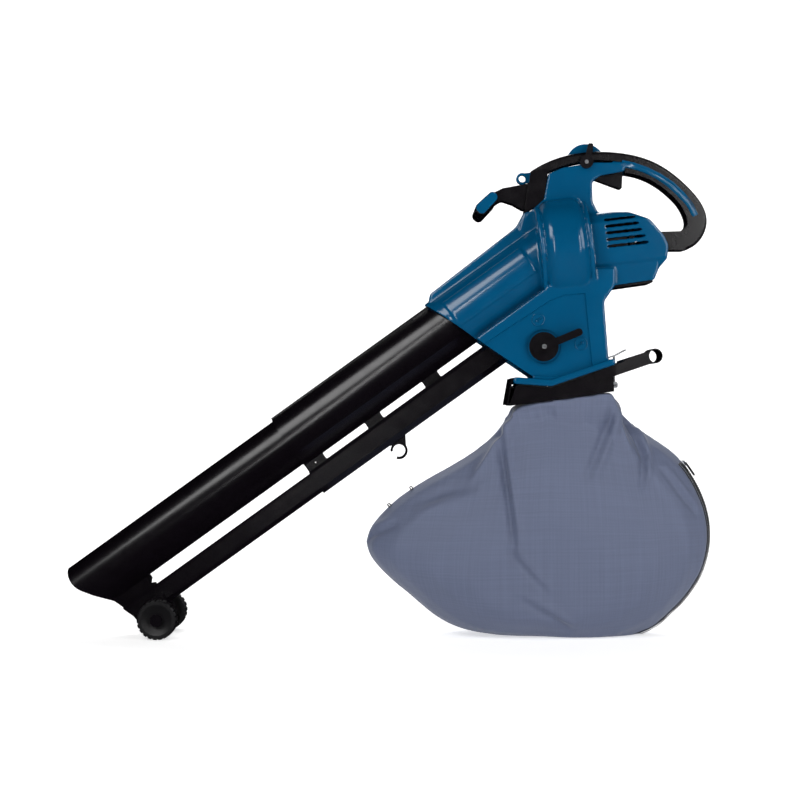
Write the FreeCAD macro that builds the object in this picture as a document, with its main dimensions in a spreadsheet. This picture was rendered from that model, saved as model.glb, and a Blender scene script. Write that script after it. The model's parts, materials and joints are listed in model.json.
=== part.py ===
"""A cordless garden blower and vacuum with a telescopic nozzle, wheels and a collecting bag.

Millimetres. +Z is up, +X runs from the nozzle mouth to the rear handle, Y crosses the machine.
Three frames are used: the machine frame, whose floor is Z = 0; the nozzle frame, whose X runs up
the big tube; and the fan frame, whose X is the motor axis. The machine stands on Z = 0, with
Y = 0 as its middle plane and X = 0 near the middle of its length.
"""

import FreeCAD, Part
import math
import os

import Sketcher
from FreeCAD import Placement, Rotation, Vector

doc = FreeCAD.newDocument("blower_vacuum")

# ---------------------------------------------------------------- driving dimensions

sheet = doc.addObject("Spreadsheet::Sheet", "Sizes")

SIZES = [
    # nozzle frame, in the machine frame
    ("nozzle_tilt", 35.7),
    ("nozzle_origin_x", -131.9),
    ("nozzle_origin_z", 313.9),
    # lower nozzle
    ("suction_radius", 38.0),
    ("suction_crease", 20.0),
    ("suction_keel", 41.6),
    ("web_half", 8.0),
    ("blow_top", 59.3),
    ("blow_height", 33.4),
    ("blow_half", 19.0),
    ("blow_edge", 7.0),
    ("nozzle_wall", 2.4),
    ("nozzle_front", -421.0),
    ("lower_back", 96.0),
    ("lower_slot_front", -325.0),
    # upper nozzle
    ("slide_gap", 0.4),
    ("upper_wall", 2.6),
    ("upper_front", -36.6),
    ("upper_back", 330.0),
    ("rib_height", 2.3),
    ("rib_half", 2.2),
    ("slot_start", -4.0),
    ("slot_length", 79.0),
    ("slot_bar", 28.0),
    ("slot_height", 10.6),
    # hook under the nozzle, and the lock of the slide
    ("hook_place", 93.0),
    ("hook_radius", 9.5),
    ("hook_section", 3.6),
    ("hook_half", 7.0),
    ("lock_place", -21.0),
    ("lock_radius", 5.0),
    # wheels
    ("axle_along", -344.3),
    ("axle_radius", 4.0),
    ("wheel_radius", 29.5),
    ("wheel_width", 21.0),
    ("wheel_track", 110.0),
    ("wheel_side_gap", 0.5),
    ("wheel_bore_gap", 0.05),
    ("wheel_lugs", 22),
    ("axle_cap_radius", 9.0),
    ("axle_cap_width", 3.0),
    ("bracket_half", 26.0),
    ("bracket_gap", 0.1),
    # housing
    ("shell_wall", 2.8),
    ("trunk_radius", 47.5),
    ("mouth_rim", 12.0),
    ("mouth_gap", 0.15),
    ("chamber_half", 50.0),
    ("spine_half", 19.0),
    ("shoulder_half", 20.0),
    ("flange_half", 57.0),
    ("flange_thick", 10.0),
    ("bag_port_half", 43.0),
    # fan and motor, on one axis
    ("fan_tilt", 6.5),
    ("fan_x", 256.0),
    ("fan_z", 584.0),
    ("drum_radius", 78.0),
    ("drum_width", 68.0),
    ("drum_edge", 18.0),
    ("barrel_radius", 42.0),
    ("barrel_crown", 52.0),
    ("barrel_end", 152.0),
    ("battery_half", 38.0),
    ("seat_gap", 0.3),
    ("case_wall", 2.0),
    ("eye_radius", 36.0),
    ("impeller_radius", 62.0),
    ("impeller_blades", 9),
    ("shaft_radius", 5.0),
    ("running_fit", 0.04),
    ("bearing_radius", 13.0),
    ("bearing_width", 8.0),
    ("rotor_radius", 15.0),
    ("air_gap", 0.8),
    ("motor_gap", 3.0),
    ("rotor_length", 38.0),
    ("stator_radius", 30.0),
    # the motor's air outlets, in the fan frame
    ("vent_rows", 5),
    ("vent_top", 34.0),
    ("vent_pitch", 10.0),
    ("vent_height", 3.4),
    ("vent_front", 64.0),
    ("vent_back", 108.0),
    ("vent_step", 3.8),
    # handle
    ("grip_half", 17.5),
    ("grip_top_thick", 14.0),
    ("grip_stripe", 8.0),
    ("grip_bore_half", 11.0),
    ("grip_edge", 5.0),
    # trigger
    ("trigger_x", 309.0),
    ("trigger_z", 706.0),
    ("trigger_half", 9.0),
    ("side_gap", 0.5),
    ("pin_radius", 2.0),
    # speed lever
    ("speed_x", 290.0),
    ("speed_z", 714.4),
    ("speed_dial_radius", 29.0),
    ("speed_dial_half", 8.0),
    ("speed_arm_thick", 4.5),
    ("speed_boss_radius", 10.0),
    ("speed_reach", 28.0),
    # change lever and flap
    ("lever_x", 223.0),
    ("lever_z", 435.0),
    ("lever_angle", 22.5),
    ("lever_disc_radius", 21.8),
    ("lever_disc_thick", 5.0),
    ("lever_arm_length", 61.0),
    ("lever_arm_half", 5.5),
    ("lever_arm_thick", 7.0),
    ("flap_shaft_radius", 5.0),
    ("flap_length", 66.0),
    ("flap_half", 46.0),
    ("flap_thick", 3.0),
    # front grip and strap ring
    ("front_grip_half", 60.0),
    ("front_cap_thick", 5.0),
    ("front_arm_half", 13.0),
    ("strap_x", 194.6),
    ("strap_z", 691.4),
    ("strap_ring_radius", 8.8),
    ("strap_bore_radius", 5.4),
    ("strap_half", 5.0),
    # bag unit
    ("adaptor_half", 50.0),
    ("adaptor_wall", 3.0),
    ("joint_gap", 0.3),
    ("handle_x", 393.0),
    ("handle_z", 422.0),
    ("handle_tube_radius", 11.2),
    ("handle_tube_wall", 1.4),
    ("handle_tube_half", 26.0),
    ("handle_arm_thick", 4.0),
    ("handle_arm_height", 19.0),
    ("latch_x", 334.5),
    ("latch_z", 379.0),
    ("latch_rod_radius", 1.8),
    ("latch_half", 11.0),
    ("latch_plate", 1.6),
    ("bag_half", 88.0),
    ("bag_neck_half", 46.0),
    ("zip_half", 7.0),
    ("bag_skin", 2.0),
    ("zip_proud", 1.6),
    # screws
    ("screw_sink", 3.4),
    ("screw_radius", 1.7),
    ("screw_head_radius", 3.6),
    ("screw_head_height", 2.6),
    ("screw_boss_radius", 4.8),
]

for row, (alias, value) in enumerate(SIZES, start=1):
    sheet.set(f"A{row}", alias)
    sheet.set(f"B{row}", str(value))
    sheet.setAlias(f"B{row}", alias)
doc.recompute()


def cell(alias):
    """The value of one driving dimension."""
    return float(sheet.get(alias))


# ---------------------------------------------------------------- frames

NOZZLE = Placement(
    Vector(cell("nozzle_origin_x"), 0, cell("nozzle_origin_z")),
    Rotation(Vector(0, 1, 0), -cell("nozzle_tilt")),
)
FAN = Placement(
    Vector(cell("fan_x"), 0, cell("fan_z")),
    Rotation(Vector(0, 1, 0), -cell("fan_tilt")),
)
ACROSS = Rotation(Vector(0, 0, 1), 90)  # turns a piece made along X to lie along Y


def placed(shape, frame):
    """A copy of a shape, moved from its own frame into the machine frame."""
    moved = shape.copy()
    moved.Placement = frame.multiply(shape.Placement)
    return moved


# ---------------------------------------------------------------- outlines and solids

def flat(point):
    """A point of the XZ plane."""
    return Vector(point[0], 0, point[1])


def outline(points):
    """A closed wire in the XZ plane; a third number in a point rounds that corner."""
    edges = []
    ends = []
    for i, point in enumerate(points):
        corner = flat(point)
        if len(point) == 2:
            ends.append((corner, corner))
            continue
        before = (flat(points[i - 1]) - corner).normalize()
        after = (flat(points[(i + 1) % len(points)]) - corner).normalize()
        half = before.getAngle(after) / 2
        first = corner + before * (point[2] / math.tan(half))
        last = corner + after * (point[2] / math.tan(half))
        middle = corner + (before + after).normalize() * (point[2] / math.sin(half) - point[2])
        edges.append(Part.Arc(first, middle, last).toShape())
        ends.append((first, last))
    for i, (_, start) in enumerate(ends):
        finish = ends[(i + 1) % len(ends)][0]
        if start.distanceToPoint(finish) > 1e-4:
            edges.append(Part.makeLine(start, finish))
    return Part.Wire(Part.__sortEdges__(edges))


def arc_chain(points):
    """Edges of three-point arcs that share their ends: start, middle, end, middle, end..."""
    spots = [flat(point) for point in points]
    return [Part.Arc(*spots[i:i + 3]).toShape() for i in range(0, len(spots) - 2, 2)]


def smooth(points):
    """One smooth edge through the points."""
    curve = Part.BSplineCurve()
    curve.interpolate([flat(point) for point in points])
    return [curve.toShape()]


def closed(edges, points=()):
    """A wire of the edges, closed by straight runs through the points back to the start."""
    first = edges[0].Vertexes[0].Point
    spots = [edges[-1].Vertexes[-1].Point] + [flat(point) for point in points] + [first]
    runs = [Part.makeLine(a, b) for a, b in zip(spots, spots[1:])]
    return Part.Wire(Part.__sortEdges__(list(edges) + runs))


def slab(wire, half, middle=0.0):
    """A wire of the XZ plane, thickened by half to each side of Y = middle."""
    face = Part.Face(wire)
    face.translate(Vector(0, middle - half, 0))
    return face.extrude(Vector(0, 2 * half, 0))


def prism(points, half, middle=0.0):
    return slab(outline(points), half, middle)


def inset_prism(points, half, inset):
    """A prism, smaller all round by the inset."""
    wire = outline(points)
    if inset:
        wire = wire.makeOffset2D(-inset, 2)
    return slab(wire, half - inset)


def rod(radius, x0, x1, y=0.0, z=0.0):
    """A cylinder along X."""
    return Part.makeCylinder(radius, x1 - x0, Vector(x0, y, z), Vector(1, 0, 0))


def crossbar(radius, x, z, y0, y1):
    """A cylinder along Y."""
    return Part.makeCylinder(radius, y1 - y0, Vector(x, y0, z), Vector(0, 1, 0))


def block(x0, x1, y0, y1, z0, z1):
    return Part.makeBox(x1 - x0, y1 - y0, z1 - z0, Vector(x0, y0, z0))


# ---------------------------------------------------------------- document objects

nodes = []


def keep(obj, frame=None):
    """Name the object as a sub-part and put it in its frame."""
    if frame is not None:
        obj.Placement = frame
    nodes.append(obj)
    return obj


def feature(label, shape, frame=None):
    """A sub-part whose shape is worked out above."""
    obj = doc.addObject("Part::Feature", label)
    obj.Label = label
    obj.Shape = shape
    return keep(obj, frame)


def sketch_on(body, plane, name, points):
    """A closed polygon whose corners are bound to expressions of the sheet."""
    planes = {item.Role: item for item in body.Origin.OriginFeatures}
    sketch = body.newObject("Sketcher::SketchObject", name)
    sketch.AttachmentSupport = (planes[plane], [""])
    sketch.MapMode = "FlatFace"
    corners = [
        Vector(float(sheet.evalExpression(x)), float(sheet.evalExpression(y)), 0) for x, y in points
    ]
    count = len(points)
    for i in range(count):
        sketch.addGeometry(Part.LineSegment(corners[i], corners[(i + 1) % count]), False)
    for i in range(count):
        sketch.addConstraint(Sketcher.Constraint("Coincident", i, 2, (i + 1) % count, 1))
    for i, (x, y) in enumerate(points):
        for kind, size, text in (("DistanceX", corners[i].x, x), ("DistanceY", corners[i].y, y)):
            number = sketch.addConstraint(Sketcher.Constraint(kind, -1, 1, i, 1, size))
            sketch.setExpression(f"Constraints[{number}]", text)
    return sketch


def new_body(label):
    body = doc.addObject("PartDesign::Body", label)
    body.Label = label
    return body


def turned(label, points, frame):
    """A body turned about its own X axis from (along, radius) corners."""
    body = new_body(label)
    sketch = sketch_on(body, "XZ_Plane", label + "_section", points)
    turn = body.newObject("PartDesign::Revolution", label + "_turn")
    turn.Profile = sketch
    turn.ReferenceAxis = (sketch, ["H_Axis"])
    turn.Angle = 360
    sketch.Visibility = False
    keep(body, frame)
    return body


def ring(label, inner, outer, start, width, frame):
    """A turned tube or washer; every size is an expression."""
    finish = f"{start} + {width}"
    corners = [(start, inner), (start, outer), (finish, outer), (finish, inner)]
    return turned(label, corners, frame)


def solid_rod(label, radius, start, length, frame):
    """A turned rod; every size is an expression."""
    return ring(label, "0", radius, start, length, frame)


# ---------------------------------------------------------------- nozzle sections

def suction_wire(grow=0.0):
    """The big tube: round on top, then two flat sides down to a narrow keel."""
    radius = cell("suction_radius")
    crease = cell("suction_crease")
    side = math.sqrt(radius ** 2 - crease ** 2)
    keel = -cell("suction_keel")
    foot = cell("web_half")
    left = Vector(0, -side, -crease)
    right = Vector(0, side, -crease)
    arc = Part.Arc(left, Vector(0, 0, radius), right).toShape()
    runs = Part.makePolygon([right, Vector(0, foot, keel), Vector(0, -foot, keel), left])
    wire = Part.Wire(Part.__sortEdges__([arc] + runs.Edges))
    return wire.makeOffset2D(grow, 2) if grow else wire


def blow_wire(grow=0.0):
    """The small tube under it: a flat-sided channel with cut corners."""
    half = cell("blow_half")
    edge = cell("blow_edge")
    top = -cell("blow_top")
    base = top - cell("blow_height")
    corners = [
        (half, top - edge / 2), (half, base + edge), (half - edge, base),
        (edge - half, base), (-half, base + edge), (-half, top - edge / 2),
        (edge / 2 - half, top), (half - edge / 2, top),
    ]
    spots = [Vector(0, y, z) for y, z in corners]
    wire = Part.makePolygon(spots + spots[:1])
    return wire.makeOffset2D(grow, 2) if grow else wire


def along(wire, x0, x1):
    """A section of the nozzle frame, drawn out along X."""
    face = Part.Face(wire)
    face.translate(Vector(x0, 0, 0))
    return face.extrude(Vector(x1 - x0, 0, 0))


def nozzle_tubes(grow, x0, x1):
    return along(suction_wire(grow), x0, x1).fuse(along(blow_wire(grow), x0, x1))


def web(half, grow, x0, x1):
    """The plate between the two tubes."""
    return block(x0, x1, -half, half, -cell("blow_top") - grow, grow - cell("suction_keel"))


# ---------------------------------------------------------------- lower nozzle and wheels

def lower_nozzle():
    front = cell("nozzle_front")
    back = cell("lower_back")
    wall = cell("nozzle_wall")
    base = -cell("blow_top") - cell("blow_height")
    outer = nozzle_tubes(0, front - 20, back)
    outer = outer.fuse(web(cell("web_half"), wall, front - 20, cell("lower_slot_front")))
    hollow = nozzle_tubes(-wall, front - 30, back + 10)
    # the lip leans back under the mouth and ends in the small tube's own mouth
    top = cell("suction_radius") + 5
    lip = arc_chain([(front + 5, top), (front, 12), (front + 8, -6)])
    keel = -cell("suction_keel") - 3
    rest = [(front + 31, keel), (front + 43, base + 14), (front + 45, base - 5), (back, base - 5), (back, top)]
    side = slab(closed(lip, rest), 60)
    solid = outer.cut(hollow).common(side)
    # the corner of the long slot is cut off
    corner = cell("lower_slot_front")
    rim = cell("web_half") + 1
    solid = solid.cut(prism([(corner - 6, keel - 9), (corner + 1, keel - 2), (corner + 1, keel - 12)], rim))
    return solid.removeSplitter()


feature("lower_nozzle", lower_nozzle(), NOZZLE)

# the wheels stand on the floor: the axle is one wheel radius above it
tilt = math.radians(cell("nozzle_tilt"))
axle_rise = cell("wheel_radius") - cell("nozzle_origin_z") - cell("axle_along") * math.sin(tilt)
AXLE_SPOT = Vector(cell("axle_along"), 0, axle_rise / math.cos(tilt))
AXLE = NOZZLE.multiply(Placement(AXLE_SPOT, ACROSS))


def wheel_bracket():
    """A saddle that grips the small tube and carries the axle."""
    x = AXLE_SPOT.x
    z = AXLE_SPOT.z
    half = cell("bracket_half")
    base = -cell("blow_top") - cell("blow_height")
    reach = (cell("wheel_track") - cell("wheel_width")) / 2 - cell("wheel_side_gap")
    saddle = prism([(x - 24, base + 20, 3), (x + 24, base + 20, 3), (x + 20, z - 4, 4), (x + 8, z - 9, 4),
                    (x - 8, z - 9, 4), (x - 26, base, 4)], half)
    barrel = crossbar(2.4 * cell("axle_radius"), x, z, -reach, reach)
    solid = saddle.fuse(barrel)
    tube = along(blow_wire(cell("bracket_gap")), x - 60, x + 60)
    above = block(x - 60, x + 60, -half - 1, half + 1, -cell("blow_top") - 3, 0)
    solid = solid.cut(tube).cut(above).cut(crossbar(cell("axle_radius"), x, z, -reach - 1, reach + 1))
    return solid.removeSplitter()


feature("wheel_bracket", wheel_bracket(), NOZZLE)

axle_end = "Sizes.wheel_track / 2 + Sizes.wheel_width / 2 + Sizes.wheel_side_gap"
solid_rod("wheel_axle", "Sizes.axle_radius", f"-({axle_end})", f"2 * ({axle_end})", AXLE)


def wheel(label, frame):
    """A moulded wheel: hub, dished web, rim and tread lugs, outer face toward +X."""
    half = "Sizes.wheel_width / 2"
    bore = "Sizes.axle_radius + Sizes.wheel_bore_gap"
    hub = "Sizes.axle_radius + 4.5"
    rim = "Sizes.wheel_radius - 6.5"
    tyre = "Sizes.wheel_radius"
    corners = [
        (f"-{half}", bore), (f"-{half}", hub), (f"-{half} + 7", hub), (f"-{half} + 7", rim),
        (f"-{half}", rim), (f"-{half}", f"{tyre} - 2"), (f"-{half} + 2", tyre),
        (f"{half} - 2", tyre), (f"{half}", f"{tyre} - 2"), (f"{half}", rim),
        (f"{half} - 5", hub), (f"{half}", hub), (f"{half}", bore),
    ]
    body = turned(label, corners, frame)
    width = "Sizes.wheel_radius * 0.045"
    notch = sketch_on(body, "YZ_Plane", label + "_notch", [
        (f"-{width}", f"{tyre} - 1.8"), (width, f"{tyre} - 1.8"), (width, f"{tyre} + 1"),
        (f"-{width}", f"{tyre} + 1"),
    ])
    pocket = body.newObject("PartDesign::Pocket", label + "_groove")
    pocket.Profile = notch
    pocket.SideType = "Symmetric"
    pocket.setExpression("Length", "Sizes.wheel_width + 2")
    doc.recompute()
    pattern = body.newObject("PartDesign::PolarPattern", label + "_grooves")
    pattern.Originals = [pocket]
    axes = {item.Role: item for item in body.Origin.OriginFeatures}
    pattern.Axis = (axes["X_Axis"], [""])
    pattern.Angle = 360
    pattern.setExpression("Occurrences", "Sizes.wheel_lugs")
    body.Tip = pattern
    notch.Visibility = False
    return body


for side, turn in (("left", -90), ("right", 90)):
    spot = AXLE_SPOT + Vector(0, math.copysign(cell("wheel_track") / 2, turn), 0)
    outward = NOZZLE.multiply(Placement(spot, Rotation(Vector(0, 0, 1), turn)))
    wheel(f"wheel_{side}", outward)
    ring(f"axle_cap_{side}", "0", "Sizes.axle_cap_radius", "Sizes.wheel_width / 2 + Sizes.wheel_side_gap",
         "Sizes.axle_cap_width", outward)


# ---------------------------------------------------------------- upper nozzle

def upper_outer(grow=0.0):
    """The filled outer form of the upper nozzle, from its front edge to its end in the housing."""
    skin = cell("slide_gap") + cell("upper_wall") + grow
    start = cell("upper_front")
    finish = cell("upper_back")
    form = nozzle_tubes(skin, start, finish).fuse(web(cell("web_half") - 1 + grow, skin, start, finish))
    rib_top = cell("suction_radius") + skin + cell("rib_height")
    rib = block(start, finish, -cell("rib_half") - grow, cell("rib_half") + grow, 0, rib_top)
    return form.fuse(rib).removeSplitter()


def upper_nozzle():
    start = cell("upper_front")
    finish = cell("upper_back")
    hollow = nozzle_tubes(cell("slide_gap"), start - 10, finish + 10)
    solid = upper_outer().cut(hollow)
    middle = -(cell("suction_keel") + cell("blow_top")) / 2
    high = cell("slot_height") / 2
    place = cell("slot_start")
    while place + cell("slot_bar") < finish:
        end = place + cell("slot_length")
        corners = [(place, middle - high, 2), (end, middle - high, 2), (end, middle + high, 2),
                   (place, middle + high, 2)]
        solid = solid.cut(prism(corners, cell("web_half") + 8))
        place = end + cell("slot_bar")
    lock = crossbar(cell("lock_radius") + cell("slide_gap"), cell("lock_place"), middle, 0, 20)
    pin_hole = crossbar(cell("pin_radius"), cell("lock_place"), middle, -20, 20)
    return solid.cut(lock).cut(pin_hole).removeSplitter()


feature("upper_nozzle", upper_nozzle(), NOZZLE)

# the slide's lock button sits in the first bar of the web, on the far side
LOCK = NOZZLE.multiply(Placement(
    Vector(cell("lock_place"), 0, -(cell("suction_keel") + cell("blow_top")) / 2), ACROSS))
turned("lock_button", [
    ("Sizes.pin_radius + 1", "Sizes.pin_radius - 1"), ("Sizes.pin_radius + 1", "Sizes.lock_radius"),
    ("Sizes.web_half + 1", "Sizes.lock_radius"), ("Sizes.web_half + 3", "Sizes.lock_radius - 1.5"),
    ("Sizes.web_half + 3", "Sizes.pin_radius - 1"),
], LOCK)


def bag_hook():
    """A C-shaped hook under the small tube, open toward the wheels."""
    x = cell("hook_place")
    skin = cell("slide_gap") + cell("upper_wall")
    top = -cell("blow_top") - cell("blow_height") - skin
    inner = cell("hook_radius")
    outer = inner + cell("hook_section")
    middle = top - outer - 1
    hoop = crossbar(outer, x, middle, -cell("hook_half"), cell("hook_half"))
    hoop = hoop.cut(crossbar(inner, x, middle, -20, 20))
    mouth = prism([(x, middle), (x - 40, middle + 22), (x - 40, middle - 30)], 20)
    stem = prism([(x - 8, top), (x + 22, top), (x + outer, middle), (x, middle + inner + 1)],
                 cell("hook_half"))
    stem = stem.cut(crossbar(inner + 1, x, middle, -20, 20))
    return hoop.cut(mouth).fuse(stem).removeSplitter()


feature("bag_hook", bag_hook(), NOZZLE)

# ---------------------------------------------------------------- housing shells

def nozzle_point(along_tube, above_axis):
    """A point of the nozzle frame, as (x, z) of the machine frame."""
    spot = NOZZLE.multVec(Vector(along_tube, 0, above_axis))
    return (spot.x, spot.z)


def fan_point(along_axis, above_axis):
    """A point of the fan frame, as (x, z) of the machine frame."""
    spot = FAN.multVec(Vector(along_axis, 0, above_axis))
    return (spot.x, spot.z)


# the housing's slanted front face crosses the tube axis here, and runs down to the lower corner
MOUTH_TOP = nozzle_point(249, 57)
MOUTH_LOW = nozzle_point(314, -119)


def behind_mouth(back):
    """Everything behind the slanted front face, moved back by a distance."""
    run = (flat(MOUTH_LOW) - flat(MOUTH_TOP)).normalize()
    inward = Vector(-run.z, 0, run.x)
    top = flat(MOUTH_TOP) - run * 300 + inward * back
    low = flat(MOUTH_LOW) + run * 300 + inward * back
    far = inward * 900
    corners = [(spot.x, spot.z) for spot in (top, low, low + far, top + far)]
    return prism(corners, 200)


# the chamber under the fan, where the air turns to the small tube or to the bag
PORT_LEFT = (190, 392)
PORT_RIGHT = (320, 409)
CHAMBER = [
    nozzle_point(270, -40), nozzle_point(316, -124), (195, 396), PORT_LEFT, (232, 378), PORT_RIGHT,
    (320, 416), (314.3, 489.4), (313.5, 503, 10), (330, 527), (330, 552), nozzle_point(465, -40),
]
SPINE = [
    (52, 500), (54.1, 515.3, 8), (74.5, 531.2, 10), (185, 617.1, 40), (197, 640), (245, 640), (245, 600),
    (92, 486),
]
SHOULDER = [
    (194, 628), (226, 660, 8), (233, 697), (254, 706), (300, 714), (350, 714),
    (348, 701, 4), (312, 694.5, 10), (299, 686, 10), (299.7, 655.1, 14), (308, 638.5), (318, 600),
    (240, 590), (190, 612),
]
MOTOR_SIDE = [
    (270, 640), (352, 639, 20), (383, 626, 16), (404, 602, 14), (410.4, 588.2), (408.9, 567.7, 6),
    (400, 556), (395.8, 545), (275, 534),
]
BATTERY_BOX = [
    (300, 575), (300, 524), (330.3, 527.4), (389.9, 536), (396, 551), (399, 575),
]


def trunk(inset):
    """The round body about the big tube's axis."""
    return placed(rod(cell("trunk_radius") - inset, 180, 478 - inset), NOZZLE)


def drum(inset):
    """The wide drum around the fan, with soft edges."""
    half = cell("drum_width") / 2 - inset
    body = rod(cell("drum_radius") - inset, -half, half)
    rims = [edge for edge in body.Edges if len(edge.Vertexes) == 1]
    return placed(body.makeFillet(cell("drum_edge") - inset, rims), FAN)


def barrel(inset):
    """The motor's housing behind the drum: flat sides, a crowned top, cut to its side outline."""
    body = placed(rod(cell("barrel_crown") - inset, 0, cell("barrel_end") + 8), FAN)
    return body.common(inset_prism(MOTOR_SIDE, cell("barrel_radius"), inset))


def housing_form(inset):
    """The whole closed form of the moulded housing, or its hollow when inset by the wall."""
    parts = [
        trunk(inset),
        inset_prism(CHAMBER, cell("chamber_half"), inset),
        inset_prism(SPINE, cell("spine_half"), inset),
        inset_prism(SHOULDER, cell("shoulder_half"), inset),
        drum(inset),
        barrel(inset),
        inset_prism(BATTERY_BOX, cell("battery_half"), inset),
    ]
    whole = parts[0].fuse(parts[1:])
    back = cell("mouth_rim") if inset else 0
    return whole.common(behind_mouth(back))


def flange():
    """The kinked rim that the bag unit meets."""
    deep = cell("flange_thick")
    top = [(178, 390, 3), (234, 386), (329, 418.5, 3)]
    base = [(x, z - deep, 3) if i != 1 else (x, z - deep) for i, (x, z, *_) in enumerate(top)]
    return prism(top + base[::-1], cell("flange_half"))


def flange_base(x):
    """Height of the flange's underside at x."""
    deep = cell("flange_thick")
    if x < 234:
        return 386 - deep + (234 - x) * 4 / 56
    return 386 - deep + (x - 234) * 32.5 / 95


# ---------------------------------------------------------------- handle outlines

GRIP_TOP = [
    (206.7, 701.5), (257.6, 724.7), (330.3, 730.5), (388.5, 717.4), (446.7, 675.3), (465, 652),
    (472.7, 629), (463, 598), (437.9, 582.2),
]
GRIP_REST = [(330, 582.2), (330, 400), (0, 400), (0, 701.5)]
GRIP_UNDER = [
    (347.8, 698.6), (388.5, 687), (417.5, 666.5), (432, 651), (440.8, 634.6), (443, 622), (431, 610.5),
]


def grip_fill(drop):
    """Everything inside the handle's outer line, a distance below it."""
    wire = closed(arc_chain(GRIP_TOP), GRIP_REST)
    if drop:
        return wire.makeOffset2D(-drop, 2)
    return closed(smooth(GRIP_TOP), GRIP_REST)


def grip_eye():
    """The finger opening of the handle, which runs forward past the trigger."""
    wire = closed(smooth(GRIP_UNDER), [(405, 609.8), (330, 609.8), (330, 698.6)])
    return slab(wire, 60)


def grip_envelope():
    """The handle's outer form, whose long outer edges are rounded."""
    half = cell("grip_half")
    solid = slab(closed(smooth(GRIP_TOP), [(300, 400), (150, 500)]), half)
    line = Part.Wire(smooth(GRIP_TOP))
    rims = []
    for edge in solid.Edges:
        middle = edge.valueAt((edge.FirstParameter + edge.LastParameter) / 2)
        if abs(abs(middle.y) - half) > 1e-6:
            continue
        level = Part.Vertex(Vector(middle.x, 0, middle.z))
        if level.distToShape(line)[0] < 1e-6:
            rims.append(edge)
    return solid.makeFillet(cell("grip_edge"), rims)


GRIP = grip_envelope()


def grip_layer(near, far):
    """A layer of the handle between two distances below its outer line."""
    half = cell("grip_half")
    solid = GRIP.common(slab(grip_fill(near), half + 1))
    if far is None:
        return solid.cut(grip_eye())
    return solid.cut(slab(grip_fill(far), half + 1)).cut(grip_eye())


def grip_hollow():
    """The passage inside the handle for the switch and its wires."""
    wall = (cell("grip_top_thick") + cell("grip_stripe") + 12 - 2 * cell("grip_bore_half")) / 2
    path = slab(grip_fill(wall + 1), cell("grip_bore_half"))
    path = path.cut(slab(grip_fill(wall + 2 * cell("grip_bore_half") - 4), cell("grip_bore_half") + 1))
    return path.common(prism([(318, 560), (480, 560), (480, 740), (318, 740)], 60))


# the all-black tail begins at this line across the handle
TAIL_CUT = [(405, 634), (500, 634)]
BEFORE_TAIL = prism([(500, 760), (206.8, 760), (206.8, 640), (400, 640)] + TAIL_CUT, 80)
STRIPE_SPAN = prism([(500, 760), (330, 760), (330, 690), (400, 640)] + TAIL_CUT, 80)
UNDER_SPAN = prism([(500, 760), (348.5, 760), (348.5, 640), (400, 640)] + TAIL_CUT, 80)
TAIL_SPAN = prism([(500, 560), (404, 560)] + TAIL_CUT, 80)


top_thick = cell("grip_top_thick")
stripe = cell("grip_stripe")

grip_top_form = grip_layer(0, top_thick).common(BEFORE_TAIL)
nose_form = prism([(196.6, 637.5), (217, 650.6, 4), (226, 659, 4), (233, 704), (206.7, 701.5, 5)],
                  cell("shoulder_half")).cut(grip_top_form).cut(drum(0))
grip_stripe_form = grip_layer(top_thick, top_thick + stripe).common(STRIPE_SPAN)
grip_under_form = grip_layer(top_thick + stripe, None).common(UNDER_SPAN)
grip_tail_form = grip_layer(0, None).common(TAIL_SPAN)

# ---------------------------------------------------------------- moving parts' forms

TRIGGER = [(303.5, 712), (303.5, 690, 4), (340, 676.5), (345, 675.3, 2), (346, 699), (346, 706, 3), (330, 712)]
trigger_form = prism(TRIGGER, cell("trigger_half"))
trigger_room = prism([(300, 715), (300, 670), (348.4, 670), (348.4, 715)],
                     cell("trigger_half") + cell("side_gap"))
dial_side = cell("speed_dial_half") + cell("side_gap")
dial_room = crossbar(cell("speed_dial_radius") + 1, cell("speed_x"), cell("speed_z"), -dial_side, dial_side)
dial_room = dial_room.cut(block(200, 400, -50, 50, 600, cell("speed_z") - 13))

# ---------------------------------------------------------------- housing, finished

# places of the housing screws, with the half width of the form there
SCREWS = [
    (*nozzle_point(335, 52), cell("spine_half")),
    (*fan_point(cell("drum_width") / 2 + 8.2, -71.2), cell("chamber_half")),
    (306, 434, cell("chamber_half")),
    (204, 408, cell("chamber_half")),
    (256, 686, cell("shoulder_half")),
    (*fan_point(cell("drum_width") / 2 + 5.6, 64.9), cell("shoulder_half")),
    (389, 590, cell("barrel_radius")),
    (384, 550, cell("battery_half")),
]


def screw_boss(x, z):
    return crossbar(cell("screw_boss_radius"), x, z, -60, 60)


def screw_room(x, z, half):
    """The shank's hole and the sunk seat of the head, from the right side."""
    shank = crossbar(cell("screw_radius"), x, z, 6 - half, half)
    head = crossbar(cell("screw_head_radius") + cell("running_fit"), x, z, half - cell("screw_sink"), 90)
    return shank.fuse(head)


def screw(x, z, half):
    """A screw with a round head, its tip in the left half."""
    seat = half - cell("screw_sink")
    shank = crossbar(cell("screw_radius"), x, z, 6 - half, seat)
    head = crossbar(cell("screw_head_radius"), x, z, seat, seat + cell("screw_head_height"))
    drive = crossbar(1.2, x, z, seat + 1, seat + 5)
    return shank.fuse(head).removeSplitter().cut(drive)


def vents():
    """Slots through both sides of the motor's round housing, in line with the motor."""
    half = cell("vent_height") / 2
    front = cell("vent_front")
    slots = []
    for row in range(int(cell("vent_rows"))):
        level = cell("vent_top") - row * cell("vent_pitch")
        back = cell("vent_back") + row * cell("vent_step")
        line = outline([
            (front, level - half, 0.9 * half), (back, level - half, 0.9 * half),
            (back, level + half, 0.9 * half), (front, level + half, 0.9 * half),
        ])
        slots.append(placed(slab(line, cell("barrel_radius") + 2), FAN))
    return slots


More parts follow.
